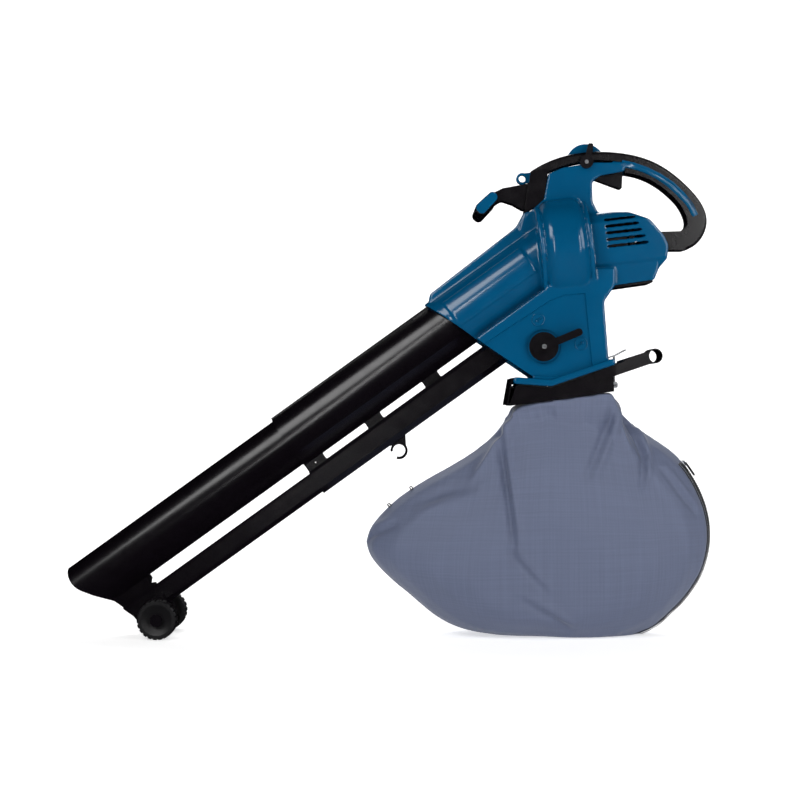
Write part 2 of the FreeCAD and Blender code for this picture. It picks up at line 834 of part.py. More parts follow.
def housing():
    """The two moulded halves as one hollow form, before the cut along the middle."""
    outer = housing_form(0)
    hollow = housing_form(cell("shell_wall"))
    bosses = [screw_boss(x, z).common(outer) for x, z, _ in SCREWS]
    shell = outer.cut(hollow).fuse(bosses)
    # the lever's bearings and the shelf that the flap's tip meets
    bearing = crossbar(cell("flap_shaft_radius") + 4, cell("lever_x"), cell("lever_z"),
                       cell("flap_half") + cell("side_gap"), cell("chamber_half"))
    reach = cell("lever_x") + cell("flap_length") * math.cos(math.radians(cell("lever_angle"))) + 1.5
    level = cell("lever_z") + cell("flap_length") * math.sin(math.radians(cell("lever_angle")))
    shelf = block(reach, 315, 1 - cell("chamber_half"), cell("chamber_half") - 1, level - 3, level)
    shell = shell.fuse([flange(), grip_stripe_form, bearing, shelf])
    mouth = placed(upper_outer(cell("mouth_gap")), NOZZLE)
    port = prism([(214, 415), (214, 360), (298, 360), (298, 425)], cell("bag_port_half"))
    shaft = crossbar(cell("flap_shaft_radius") + cell("running_fit"), cell("lever_x"), cell("lever_z"),
                     -80, cell("flap_half") + 2)
    speed = crossbar(cell("pin_radius") + 1 + cell("running_fit"), cell("speed_x"), cell("speed_z"), -60, 14)
    pin = crossbar(cell("pin_radius"), cell("trigger_x"), cell("trigger_z"),
                   -cell("grip_half") + 1, cell("grip_half") - 1)
    shell = shell.cut([mouth, port, shaft, speed, pin, trigger_room, dial_room, grip_hollow()])
    shell = shell.cut([grip_top_form, nose_form, grip_under_form, grip_tail_form])
    shell = shell.cut(vents())
    return shell.cut([screw_room(*spot) for spot in SCREWS])


shell_form = housing()
feature("housing_left", shell_form.common(block(-600, 600, -200, 0, 0, 900)))
feature("housing_right", shell_form.common(block(-600, 600, 0, 200, 0, 900)))
feature("housing_screws", Part.makeCompound([screw(*spot) for spot in SCREWS]))


# ---------------------------------------------------------------- fan and motor

case_outer = cell("drum_radius") - cell("shell_wall") - cell("seat_gap")
case_half = cell("drum_width") / 2 - cell("shell_wall") - cell("seat_gap")


def fan_case():
    """The round case about the fan: an eye in front, a shaft hole behind and an outlet below."""
    wall = cell("case_wall")
    edge = cell("drum_edge") - cell("shell_wall")
    body = rod(case_outer, -case_half, case_half)
    rims = [rim for rim in body.Edges if len(rim.Vertexes) == 1]
    body = body.makeFillet(edge, rims)
    hollow = rod(case_outer - wall, wall - case_half, case_half - wall)
    rims = [rim for rim in hollow.Edges if len(rim.Vertexes) == 1]
    body = body.cut(hollow.makeFillet(edge - wall, rims))
    body = body.cut(rod(cell("eye_radius"), -case_half - 5, wall + 1 - case_half))
    body = body.cut(rod(2 * cell("shaft_radius"), 0, case_half + 5))
    outlet = block(-case_half + 8, case_half - 8, -cell("eye_radius"), cell("eye_radius"), -100, -30)
    return body.cut(outlet)


case = fan_case()
front_half = block(-100, 0, -100, 100, -100, 100)
rear_half = block(0, 100, -100, 100, -100, 100)
feature("fan_case_front", case.common(front_half), FAN)
feature("fan_case_rear", case.common(rear_half), FAN)


def intake_duct():
    """The funnel from the end of the big tube to the fan's eye."""
    wall = cell("case_wall")

    def funnel(inset, stretch):
        start = Part.Wire(Part.makeCircle(
            cell("suction_radius") + cell("upper_wall") - inset,
            Vector(cell("upper_back") + cell("seat_gap") - stretch, 0, 0), Vector(1, 0, 0)))
        start.Placement = NOZZLE
        finish = Part.Wire(Part.makeCircle(
            cell("eye_radius") + wall - inset,
            Vector(stretch - case_half - cell("seat_gap"), 0, 0), Vector(1, 0, 0)))
        finish.Placement = FAN
        return Part.makeLoft([start, finish], True, True)

    return funnel(0, 0).cut(funnel(wall, 0.01))


duct_form = intake_duct()
feature("intake_duct", duct_form)

impeller_front = "-Sizes.drum_width / 2 + 13"
impeller_back = "Sizes.drum_width / 2 - 22"


def impeller():
    """A back plate and hub with curved vanes in a ring."""
    bore = "Sizes.shaft_radius"
    body = turned("impeller", [
        (impeller_front, bore), (impeller_front, "Sizes.shaft_radius + 5"),
        (f"{impeller_back} - 6", "Sizes.shaft_radius + 13"), (f"{impeller_back} - 2.5", "Sizes.impeller_radius"),
        (impeller_back, "Sizes.impeller_radius"), (impeller_back, "Sizes.shaft_radius + 16"),
        (f"{impeller_back} + 3", "Sizes.shaft_radius + 6"), (f"{impeller_back} + 3", bore),
    ], FAN)
    planes = {item.Role: item for item in body.Origin.OriginFeatures}
    sketch = body.newObject("Sketcher::SketchObject", "impeller_vane_line")
    sketch.AttachmentSupport = (planes["YZ_Plane"], [""])
    sketch.MapMode = "FlatFace"
    inner = cell("shaft_radius") + 9
    outer = cell("impeller_radius") - 1
    lean = math.radians(28)
    tip = Vector(outer * math.cos(lean), outer * math.sin(lean), 0)
    root = Vector(inner, 0, 0)
    thick = Vector(-0.6, 1.8, 0)
    first = Part.Arc(root, (root + tip) * 0.5 + Vector(4, -6, 0), tip)
    second = Part.Arc(root + thick, (root + tip) * 0.5 + Vector(4, -6, 0) + thick, tip + thick)
    for curve in (first, second):
        sketch.addGeometry(curve, False)
    sketch.addGeometry(Part.LineSegment(root, root + thick), False)
    sketch.addGeometry(Part.LineSegment(tip, tip + thick), False)
    vane = body.newObject("PartDesign::Pad", "impeller_vane")
    vane.Profile = sketch
    vane.SideType = "Two sides"
    vane.setExpression("Length", f"{impeller_back} - 1")
    vane.setExpression("Length2", "Sizes.drum_width / 2 - 13")
    doc.recompute()
    ring_of = body.newObject("PartDesign::PolarPattern", "impeller_vanes")
    ring_of.Originals = [vane]
    ring_of.Axis = (planes["X_Axis"], [""])
    ring_of.Angle = 360
    ring_of.setExpression("Occurrences", "Sizes.impeller_blades")
    body.Tip = ring_of
    sketch.Visibility = False
    return body


impeller()
motor_front = "Sizes.drum_width / 2 + Sizes.motor_gap"
motor_back = f"{motor_front} + Sizes.bearing_width + Sizes.rotor_length + 14"
shaft_front = "-Sizes.drum_width / 2 + 6"
solid_rod("motor_shaft", "Sizes.shaft_radius", shaft_front,
          f"{motor_back} + Sizes.bearing_width + 3 + Sizes.drum_width / 2 - 6", FAN)
ring("impeller_nut", "Sizes.shaft_radius", "Sizes.shaft_radius + 4", f"{impeller_front} - 5", "5", FAN)
bearing_bore = "Sizes.shaft_radius + Sizes.running_fit"
barrel_inner = "Sizes.barrel_radius - Sizes.shell_wall - Sizes.seat_gap"
for name, place in (("front", motor_front), ("rear", motor_back)):
    ring(f"bearing_{name}", bearing_bore, "Sizes.bearing_radius", place, "Sizes.bearing_width", FAN)
    ring(f"motor_mount_{name}", "Sizes.bearing_radius", barrel_inner, place, "Sizes.bearing_width", FAN)
rotor_start = f"{motor_front} + Sizes.bearing_width + 7"
ring("motor_rotor", "Sizes.shaft_radius", "Sizes.rotor_radius", rotor_start, "Sizes.rotor_length", FAN)
ring("motor_stator", "Sizes.rotor_radius + Sizes.air_gap", "Sizes.stator_radius", f"{rotor_start} + 2",
     "Sizes.rotor_length - 4", FAN)
ring("motor_sleeve", "Sizes.stator_radius", barrel_inner, f"{rotor_start} - 4", "Sizes.rotor_length + 8", FAN)


# ---------------------------------------------------------------- handle pieces

speed_hole = crossbar(cell("pin_radius") + 1 + cell("running_fit"), cell("speed_x"), cell("speed_z"), -60, 14)
feature("nose_cover", nose_form)
feature("grip_top", grip_top_form.cut([grip_hollow(), dial_room, trigger_room, speed_hole]))
feature("grip_under", grip_under_form.cut(grip_hollow()).cut(trigger_room))
feature("grip_tail", grip_tail_form.cut(grip_hollow()).cut(housing_form(0)))

trigger_bore = crossbar(cell("pin_radius") + cell("running_fit"), cell("trigger_x"), cell("trigger_z"), -60, 60)
feature("trigger", trigger_form.cut(trigger_bore))
pin_half = "Sizes.grip_half - 1"
PIN = Placement(Vector(cell("trigger_x"), 0, cell("trigger_z")), ACROSS)
solid_rod("trigger_pin", "Sizes.pin_radius", f"-({pin_half})", f"2 * ({pin_half})", PIN)
feature("trigger_switch", block(352, 376, 0.3 - cell("grip_bore_half"), cell("grip_bore_half") - 0.3, 704, 714))

# ---------------------------------------------------------------- speed lever

SPEED = Placement(Vector(cell("speed_x"), 0, cell("speed_z")), Rotation())


def sector(radius, start, finish, half):
    """A slice of a disc about Y, between two angles measured from +X toward +Z."""
    a = math.radians(start)
    b = math.radians(finish)
    middle = (a + b) / 2
    rim = [(radius * math.cos(t), radius * math.sin(t)) for t in (a, middle, b)]
    return slab(closed(arc_chain(rim), [(0, 0)]), half)


speed_pin = crossbar(cell("pin_radius") + 1, 0, 0, -60, 60)
dial = sector(cell("speed_dial_radius"), 20, 165, cell("speed_dial_half"))
hub = crossbar(7, 0, 0, -cell("speed_dial_half"), cell("speed_dial_half"))
feature("speed_dial", dial.fuse(hub).removeSplitter().cut(speed_pin), SPEED)


# the arm stands clear of whichever is wider, the housing's shoulder or the handle
lever_side = max(cell("shoulder_half"), cell("grip_half"))


def speed_arm():
    """The side arm: a round boss and a tapering finger that leans back over the dial."""
    near = lever_side + cell("joint_gap")
    thick = cell("speed_arm_thick")
    reach = cell("speed_reach")
    finger = prism([(-5, 0), (3, reach, 2), (10, reach - 1, 2), (8, 0)], thick / 2, -near - thick / 2)
    boss = crossbar(cell("speed_boss_radius"), 0, 0, -near - thick, -near)
    tab = prism([(3.5, reach - 5), (3.5, reach, 1.5), (9.5, reach, 1.5), (9.5, reach - 5)], 7, -near + 5)
    clear = crossbar(cell("speed_dial_radius") + 0.3, 0, 0, -cell("speed_dial_half") - 2, 60)
    return finger.fuse([boss, tab.cut(clear)]).removeSplitter().cut(speed_pin)


feature("speed_arm", speed_arm(), SPEED)
shaft_end = "max(Sizes.shoulder_half; Sizes.grip_half) + Sizes.joint_gap + Sizes.speed_arm_thick"
solid_rod("speed_shaft", "Sizes.pin_radius + 1", f"-({shaft_end})", f"{shaft_end} + 13",
          Placement(Vector(cell("speed_x"), 0, cell("speed_z")), ACROSS))

# ---------------------------------------------------------------- change lever and flap

LEVER = Placement(Vector(cell("lever_x"), 0, cell("lever_z")), Rotation(Vector(0, 1, 0), -cell("lever_angle")))
lever_face = cell("chamber_half") + cell("joint_gap")


def change_lever():
    """A round boss with a straight finger lever across it."""
    disc = crossbar(cell("lever_disc_radius"), 0, 0, -lever_face - cell("lever_disc_thick"), -lever_face)
    half = cell("lever_arm_half")
    length = cell("lever_arm_length")
    thick = cell("lever_arm_thick") / 2
    corners = [(-16, -half, 3), (length, -half, half - 0.5), (length, half, half - 0.5), (-16, half, 3)]
    arm = prism(corners, thick, -lever_face - cell("lever_disc_thick") + 1 - thick)
    return disc.fuse(arm).removeSplitter().cut(lever_bore).cut(lever_screw_room)


lever_outer = lever_face + cell("lever_disc_thick") - 1 + cell("lever_arm_thick")
lever_bore = crossbar(cell("flap_shaft_radius"), 0, 0, -lever_outer + 5, 60)
lever_screw_room = crossbar(cell("screw_radius"), 0, 0, -lever_outer - 1, 0)
feature("change_lever", change_lever(), LEVER)
ACROSS_LEVER = LEVER.multiply(Placement(Vector(), ACROSS))
solid_rod("flap_shaft", "Sizes.flap_shaft_radius",
          "5 - (Sizes.chamber_half + Sizes.joint_gap + Sizes.lever_disc_thick - 1 + Sizes.lever_arm_thick)",
          "Sizes.flap_half + 1 + Sizes.chamber_half + Sizes.joint_gap + Sizes.lever_disc_thick - 6 "
          "+ Sizes.lever_arm_thick", ACROSS_LEVER)
turned("lever_screw", [
    ("-(Sizes.chamber_half + Sizes.joint_gap + Sizes.lever_disc_thick - 1 + Sizes.lever_arm_thick) - 1.6", "0"),
    ("-(Sizes.chamber_half + Sizes.joint_gap + Sizes.lever_disc_thick - 1 + Sizes.lever_arm_thick) - 1.6",
     "Sizes.screw_head_radius"),
    ("-(Sizes.chamber_half + Sizes.joint_gap + Sizes.lever_disc_thick - 1 + Sizes.lever_arm_thick)",
     "Sizes.screw_head_radius"),
    ("-(Sizes.chamber_half + Sizes.joint_gap + Sizes.lever_disc_thick - 1 + Sizes.lever_arm_thick)",
     "Sizes.screw_radius"),
    ("5 - (Sizes.chamber_half + Sizes.joint_gap + Sizes.lever_disc_thick - 1 + Sizes.lever_arm_thick)",
     "Sizes.screw_radius"),
    ("5 - (Sizes.chamber_half + Sizes.joint_gap + Sizes.lever_disc_thick - 1 + Sizes.lever_arm_thick)", "0"),
], ACROSS_LEVER)


def flap():
    """The plate that turns the air down the small tube or into the bag."""
    half = cell("flap_half")
    thick = cell("flap_thick")
    length = cell("flap_length")
    hub = crossbar(cell("flap_shaft_radius") + 3, 0, 0, -half, half)
    plate = prism([(0, -thick / 2), (length, -thick / 2, 1), (length, thick / 2, 1), (0, thick / 2)], half)
    return hub.fuse(plate).removeSplitter().cut(crossbar(cell("flap_shaft_radius"), 0, 0, -60, 60))


feature("flap", flap(), LEVER)

# ---------------------------------------------------------------- electrics

feature("controller", block(308, 372, -30, 30, 537, 549))


def battery_rail(middle, half):
    """A runner under the battery holder."""
    return prism([(331, 527.3), (388, 535.5), (388, 532.3), (331, 524.2)], half, middle)


rails = [battery_rail(place, 6).cut(shell_form) for place in (-28, 28)]
feature("battery_rails", Part.makeCompound(rails))
feature("terminal_block", battery_rail(0, 16).cut(shell_form))

# ---------------------------------------------------------------- front grip and strap ring

FRONT_GRIP = [(117.3, 641, 8), (147.1, 668, 7), (157.6, 656.8, 8), (131.4, 628.3, 8)]
inside = cell("front_grip_half") - cell("front_cap_thick")
front_bar = prism(FRONT_GRIP, inside)
feature("front_grip_bar", front_bar)
for side, middle in (("left", -1), ("right", 1)):
    cap = slab(outline(FRONT_GRIP).makeOffset2D(-1.2), cell("front_cap_thick") / 2,
               middle * (inside + cell("front_cap_thick") / 2))
    feature(f"front_grip_cap_{side}", cap)
front_arm = prism([(140, 664), (164.2, 675.9, 6), (208, 684), (212, 650), (195, 643.3, 4), (180, 652, 10),
                   (162.5, 657.8, 8), (148, 648)], cell("front_arm_half"))
front_arm = front_arm.cut([front_bar, nose_form, housing_form(0)])
front_arm = max(front_arm.Solids, key=lambda solid: solid.Volume)
feature("front_grip_arm", front_arm)


def strap_ring():
    """The eye for a shoulder strap, on a short lug of the nose."""
    x = cell("strap_x")
    z = cell("strap_z")
    half = cell("strap_half")
    hoop = crossbar(cell("strap_ring_radius"), x, z, -half, half)
    lug = prism([(x, z + 8), (214, z + 10), (214, z - 6), (x, z - 6)], half)
    bore = crossbar(cell("strap_bore_radius"), x, z, -20, 20)
    solid = hoop.fuse(lug).cut(bore).cut([nose_form, grip_top_form, front_arm])
    return max(solid.Solids, key=lambda piece: piece.Volume)


feature("strap_ring", strap_ring())

# ---------------------------------------------------------------- bag unit

gap = cell("joint_gap")
SEAL = 2.0


def under_flange(drop, x0, x1):
    """Points along the flange's underside, a distance below it, from x0 to x1."""
    return [(x, flange_base(x) - drop) for x in (x0, 234, x1)]


def adaptor():
    """The black frame that the bag hangs from, open from top to bottom."""
    outer = under_flange(gap + SEAL, 182, 325) + [(328, 372.5), (173, 351)]
    wall = cell("adaptor_wall")
    inner = [(182 + wall, 440), (325 - wall, 440), (325 - wall, 400), (328 - wall, 340), (173 + wall, 320),
             (182 + wall, 380)]
    return prism(outer, cell("adaptor_half")).cut(prism(inner, cell("adaptor_half") - wall))


feature("bag_adaptor", adaptor())


def seal():
    """The soft ring between the flange and the adaptor."""
    outer = under_flange(gap, 184, 323) + under_flange(gap + SEAL, 184, 323)[::-1]
    room = prism([(190, 440), (190, 340), (317, 340), (317, 440)], cell("adaptor_half") - 8)
    return prism(outer, cell("adaptor_half") - 2).cut(room)


feature("port_seal", seal())


def collar():
    """The flat ring at the adaptor's foot that clamps the bag's neck."""
    outer = [(328, 372.5), (173, 351), (173, 347), (328, 368.5)]
    room = prism([(178, 400), (178, 330), (323, 330), (323, 400)], cell("adaptor_half") - 5)
    return prism(outer, cell("adaptor_half") + 1).cut(room)


feature("bag_collar", collar())


def front_hook():
    """The thin plate in front of the adaptor, held off it by a lip at top and bottom."""
    plate = prism([(175, 388), (177.5, 388), (170.5, 348), (168, 348)], cell("bag_neck_half"))
    foot = prism([(168, 348), (173, 348), (173, 351), (168.5, 351)], cell("bag_neck_half"))
    head = prism([(173.5, 376), (182, 376), (182, 373), (173, 373)], cell("bag_neck_half") - 30)
    return plate.fuse([foot, head]).cut(adaptor()).cut(collar()).removeSplitter()


feature("front_hook", front_hook())


def bag_handle():
    """Two arms that close in from the adaptor's sides to a hollow cross tube."""
    x = cell("handle_x")
    z = cell("handle_z")
    high = cell("handle_arm_height") / 2
    thick = cell("handle_arm_thick")
    wide = cell("adaptor_half")
    slim = cell("handle_tube_half")
    band = prism([(300, 391.5 + high), (x, z + high), (x, z - high), (300, 391.5 - high)], 90)
    arms = []
    for side in (1, -1):
        plan = [(300, wide), (330, wide), (x, slim - thick), (x, slim), (330, wide + thick), (300, wide + thick)]
        spots = [Vector(px, side * py, 340) for px, py in plan]
        sheet_metal = Part.Face(Part.makePolygon(spots + spots[:1])).extrude(Vector(0, 0, 140))
        arms.append(sheet_metal.common(band))
    tube = crossbar(cell("handle_tube_radius"), x, z, -slim, slim)
    bore = crossbar(cell("handle_tube_radius") - cell("handle_tube_wall"), x, z, -60, 60)
    above = prism(under_flange(gap + 0.2, 170, 345) + [(345, 480), (170, 480)], 90)
    return tube.fuse(arms).cut(bore).cut([above, collar()]).removeSplitter()


feature("bag_handle", bag_handle())

LATCH = Placement(Vector(cell("latch_x"), 0, cell("latch_z")), Rotation())


def latch():
    """A bent strap that swings up behind the flange and hooks over its edge."""
    plate = cell("latch_plate")
    half = cell("latch_half")
    knuckle = crossbar(cell("latch_rod_radius") + 1.8, 0, 0, -half + 4, half - 4)
    strap = block(-plate / 2, plate / 2, -half + 4, half - 4, 0, 43)
    hook = prism([(-8, 40.4), (2.3, 44), (17.4, 52), (16.6, 53.5), (1.8, 45.6), (-8.5, 42)], half)
    bore = crossbar(cell("latch_rod_radius") + cell("running_fit"), 0, 0, -20, 20)
    return knuckle.fuse([strap, hook]).cut(bore).removeSplitter()


feature("bag_latch", latch(), LATCH)
solid_rod("latch_pin", "Sizes.latch_rod_radius", "-(Sizes.latch_half + 2)", "2 * (Sizes.latch_half + 2)",
          LATCH.multiply(Placement(Vector(), ACROSS)))


def latch_bracket():
    """Two ears on the adaptor's back face that hold the latch pin."""
    half = cell("latch_half")
    x = cell("latch_x")
    z = cell("latch_z")
    ears = [prism([(324, z - 5), (x + 4, z - 5, 3), (x + 4, z + 4, 3), (324, z + 4)], 2.5, side * (half - 0.5))
            for side in (1, -1)]
    bore = crossbar(cell("latch_rod_radius"), x, z, -20, 20)
    solid_adaptor = prism(under_flange(gap + SEAL, 182, 325) + [(328, 372.5), (173, 351)], 60)
    back = block(324, 330, -half - 2, half + 2, z - 5, z + 4)
    return back.fuse(ears).removeSplitter().cut([bore, solid_adaptor, collar()])


feature("latch_bracket", latch_bracket())

BAG = [
    (168, 341), (70, 257), (-20, 196), (-50, 145), (-6, 86), (88, 19.5), (207, 2), (336, 0), (413, 30),
    (475, 97), (489, 159), (465, 240), (437, 277), (367, 328), (332, 362),
]
BAG_MIDDLE = Vector(215, 0, 130)
BAG_SPAN = 400


def bag_wire(scale, y, drop=0.0):
    """The bag's side outline, scaled about its middle and moved across."""
    curve = Part.BSplineCurve()
    spots = [BAG_MIDDLE + (flat(point) - BAG_MIDDLE) * scale + Vector(0, y, -drop) for point in BAG]
    curve.interpolate(spots, PeriodicFlag=True)
    return Part.Wire(curve.toShape())


def pillow(skin):
    """The filled bag under its neck, smaller by a skin."""
    half = cell("bag_half") - skin
    shrink = 1 - 2 * skin / BAG_SPAN
    bulge = [(0, 1, 0), (0.3, 0.96, 3), (0.6, 0.85, 12), (0.86, 0.64, 26), (1, 0.4, 45)]
    sections = [(-place, scale, drop) for place, scale, drop in bulge[:0:-1]] + bulge
    wires = [bag_wire(scale * shrink, place * half, drop) for place, scale, drop in sections]
    return Part.makeLoft(wires, True, True).common(block(-300, 700, -200, 200, skin, 600))


def bag():
    """A cloth pillow, hollow inside, whose neck is held by the collar."""
    foot = cell("joint_gap")
    neck = prism([(174, 380), (327, 380), (327, 362), (345, 335, 10), (375, 250), (100, 230), (160, 325, 10),
                  (174, 340)], cell("bag_neck_half") + 4)
    above = prism([(100, 336.9 - foot), (173, 347 - foot), (328, 368.5 - foot), (420, 381), (420, 460),
                   (100, 460)], 160)
    return pillow(0).fuse(neck).cut(above)


bag_form = bag()
feature("bag", bag_form.cut(pillow(cell("bag_skin"))))

# the zip along the bag's back and lower seam stands proud of the cloth
zip_outer = slab(bag_wire(1 + 2 * cell("zip_proud") / BAG_SPAN, 0), cell("zip_half"))
zip_span = prism([(266, 0.4), (266, 30), (430, 200), (446, 274), (470, 300), (560, 300), (560, 0.4)], 30)
zip_band = max(zip_outer.common(zip_span).cut(bag_form).Solids, key=lambda solid: solid.Volume)
feature("bag_zip", zip_band)


def zip_slider():
    """The slider and its pull at the top end of the zip."""
    body = prism([(443, 270), (455, 266), (460, 279), (448, 283)], 5)
    return body.cut([zip_band, bag_form])


slider = zip_slider()
slider = max(slider.Solids, key=lambda piece: piece.Volume)
feature("zip_slider", slider)


def bag_loops():
    """Two small webbing tabs on the front seam."""
    tabs = []
    for x, z in ((14, 224), (-21, 196)):
        tab = prism([(x - 12, z + 4), (x + 4, z + 13), (x + 12, z - 8), (x - 4, z - 16)], 4).cut(bag_form)
        tabs.append(max(tab.Solids, key=lambda piece: piece.Volume))
    return Part.makeCompound(tabs)


feature("bag_loops", bag_loops())

# ---------------------------------------------------------------- checks and files

doc.recompute()
for obj in doc.Objects:
    if "Invalid" in obj.State or "Error" in obj.State:
        raise RuntimeError(f"{obj.Label} did not build: {obj.State}")
for node in nodes:
    if node.Shape.isNull() or not node.Shape.isValid() or not node.Shape.Solids:
        raise RuntimeError(f"{node.Label} has no valid solid")

os.makedirs("parts", exist_ok=True)
for node in nodes:
    node.Shape.exportStep(f"parts/{node.Label}.step")
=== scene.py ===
# %% [markdown]
# # A cordless garden blower and vacuum
# The CAD model holds the real sizes of every piece: the nozzle, the housing, the fan and motor,
# the handle and the bag. This lesson loads it as a fixed frame. It then gives each piece its finish,
# and makes again the pieces that CAD can only show stiffly, such as the moulded housing and the bag.

# %% Load the frame
import json
import math

import bmesh
import bpy
from mathutils import Matrix, Vector
from mathutils.bvhtree import BVHTree


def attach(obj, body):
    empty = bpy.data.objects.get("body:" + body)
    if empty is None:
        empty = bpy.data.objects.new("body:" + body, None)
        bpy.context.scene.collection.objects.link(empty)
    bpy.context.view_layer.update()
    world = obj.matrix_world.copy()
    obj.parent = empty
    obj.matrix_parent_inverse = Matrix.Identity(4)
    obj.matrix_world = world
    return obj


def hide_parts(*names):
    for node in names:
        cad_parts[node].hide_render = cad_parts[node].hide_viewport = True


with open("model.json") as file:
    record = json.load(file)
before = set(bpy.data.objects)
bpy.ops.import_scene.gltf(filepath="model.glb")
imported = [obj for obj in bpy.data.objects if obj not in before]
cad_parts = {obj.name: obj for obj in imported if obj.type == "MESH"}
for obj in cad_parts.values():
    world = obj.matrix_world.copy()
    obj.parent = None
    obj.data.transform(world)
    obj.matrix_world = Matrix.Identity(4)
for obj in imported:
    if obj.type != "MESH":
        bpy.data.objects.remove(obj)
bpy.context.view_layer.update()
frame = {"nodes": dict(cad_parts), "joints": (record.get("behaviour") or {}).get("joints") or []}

nodes = frame["nodes"]
joints = {joint["name"]: joint for joint in frame["joints"]}

# %% [markdown]
# ## Colour and nodes
# Colours are picked on a screen, so they are sRGB. The renderer adds light, so it needs linear values.
# One function turns the one into the other, and one small function adds a node with its settings.

# %% Colour and node helpers
MM = 0.001


def linear(code):
    """A screen colour such as #0a6a96 as linear light, with an alpha of one."""
    values = [int(code[i:i + 2], 16) / 255 for i in (1, 3, 5)]
    return (*[v / 12.92 if v <= 0.04045 else ((v + 0.055) / 1.055) ** 2.4 for v in values], 1.0)


def add(material, kind, inputs=None, **settings):
    """Adds a node. settings are its own choices, and inputs are values or other nodes' outputs."""
    tree = material.node_tree
    node = tree.nodes.new(kind)
    for name, value in settings.items():
        setattr(node, name, value)
    for name, value in (inputs or {}).items():
        if isinstance(value, bpy.types.NodeSocket):
            tree.links.new(value, node.inputs[name])
        else:
            node.inputs[name].default_value = value
    return node


def new_finish(name, **sockets):
    """A material whose shader has these constant values, and the shader."""
    material = bpy.data.materials.new(name)
    material.use_nodes = True
    shader = material.node_tree.nodes["Principled BSDF"]
    for socket, value in sockets.items():
        shader.inputs[socket.replace("_", " ")].default_value = value
    return material, shader


def join(material, output, shader, socket):
    material.node_tree.links.new(output, shader.inputs[socket])


print("teal in linear light:", [round(v, 3) for v in linear("#0a6a96")])

# %% [markdown]
# ## Moulded plastics
# The housing is gloss ABS: a polished mould leaves it smooth, so highlights are narrow. The nozzles
# and levers are polypropylene from a spark-eroded mould, whose fine grain spreads the highlight. Both
# start as one recipe: a faint drift of colour, a grain bump, and a roughness that varies with handling.

# %% Recipe for moulded plastic
def moulded(name, dark, light, grain_mm, depth_mm, rough_low, rough_high, **sockets):
    """Plastic from a mould: colour drifts between dark and light, with a grain of that size and depth."""
    material, shader = new_finish(name, **sockets)
    place = add(material, "ShaderNodeTexCoord")
    # Flow of the melt shows as slow changes, about 60 mm across.
    flow = add(material, "ShaderNodeTexNoise", {"Vector": place.outputs["Object"], "Scale": 1 / (60 * MM),
                                                "Detail": 2.0, "Roughness": 0.5})
    tone = add(material, "ShaderNodeMix", {"Factor": flow.outputs["Fac"], "A": linear(dark), "B": linear(light)},
               data_type="RGBA")
    join(material, tone.outputs["Result"], shader, "Base Color")
    # Handling leaves smears, about 14 mm across, that only change how sharply it shines.
    smears = add(material, "ShaderNodeTexNoise", {"Vector": place.outputs["Object"], "Scale": 1 / (14 * MM),
                                                  "Detail": 4.0, "Roughness": 0.6})
    shine = add(material, "ShaderNodeMapRange", {"Value": smears.outputs["Fac"], "From Min": 0.3, "From Max": 0.7,
                                                 "To Min": rough_low, "To Max": rough_high})
    join(material, shine.outputs["Result"], shader, "Roughness")
    grain = add(material, "ShaderNodeTexNoise", {"Vector": place.outputs["Object"], "Scale": 1 / (grain_mm * MM),
                                                 "Detail": 1.0, "Roughness": 0.5})
    bump = add(material, "ShaderNodeBump", {"Height": grain.outputs["Fac"], "Distance": depth_mm * MM,
                                            "Strength": 0.6})
    join(material, bump.outputs["Normal"], shader, "Normal")
    return material


# %% Plastics and rubbers
# Polished ABS: saturated teal, IOR 1.53, narrow highlights.
gloss_teal = moulded("abs_teal_polished_mould", "#01466b", "#025179", 1.6, 0.015, 0.13, 0.17, IOR=1.53)
# Polypropylene: near black with a hint of violet, IOR 1.49, broad soft highlights.
satin_black = moulded("polypropylene_black_fine_grain", "#070408", "#0b080d", 1.2, 0.02, 0.2, 0.26, IOR=1.49)
# Thermoplastic elastomer moulded over the handle: a deep black with a satin sheen from handling.
soft_black = moulded("elastomer_black_overmould", "#070407", "#0b080c", 0.9, 0.02, 0.22, 0.3, IOR=1.5)
# Nitrile rubber seal.
seal_rubber = moulded("nitrile_seal_rubber", "#141414", "#1c1b1c", 1.5, 0.05, 0.6, 0.7, IOR=1.52)
# Nylon impeller, natural white, moulded.
white_nylon = moulded("nylon_natural_moulded", "#d8d6cc", "#e4e2da", 1.2, 0.03, 0.35, 0.5, IOR=1.53)
# Acetal wheels: harder and smoother than the nozzle.
wheel_black = moulded("acetal_black_turned_tread", "#0c0b0d", "#141316", 1.4, 0.05, 0.38, 0.5, IOR=1.48)
# Solder mask over glass fibre.
board_green = moulded("solder_mask_green", "#0d4a26", "#115c31", 0.8, 0.02, 0.25, 0.35, IOR=1.55)
print("made 7 moulded finishes")
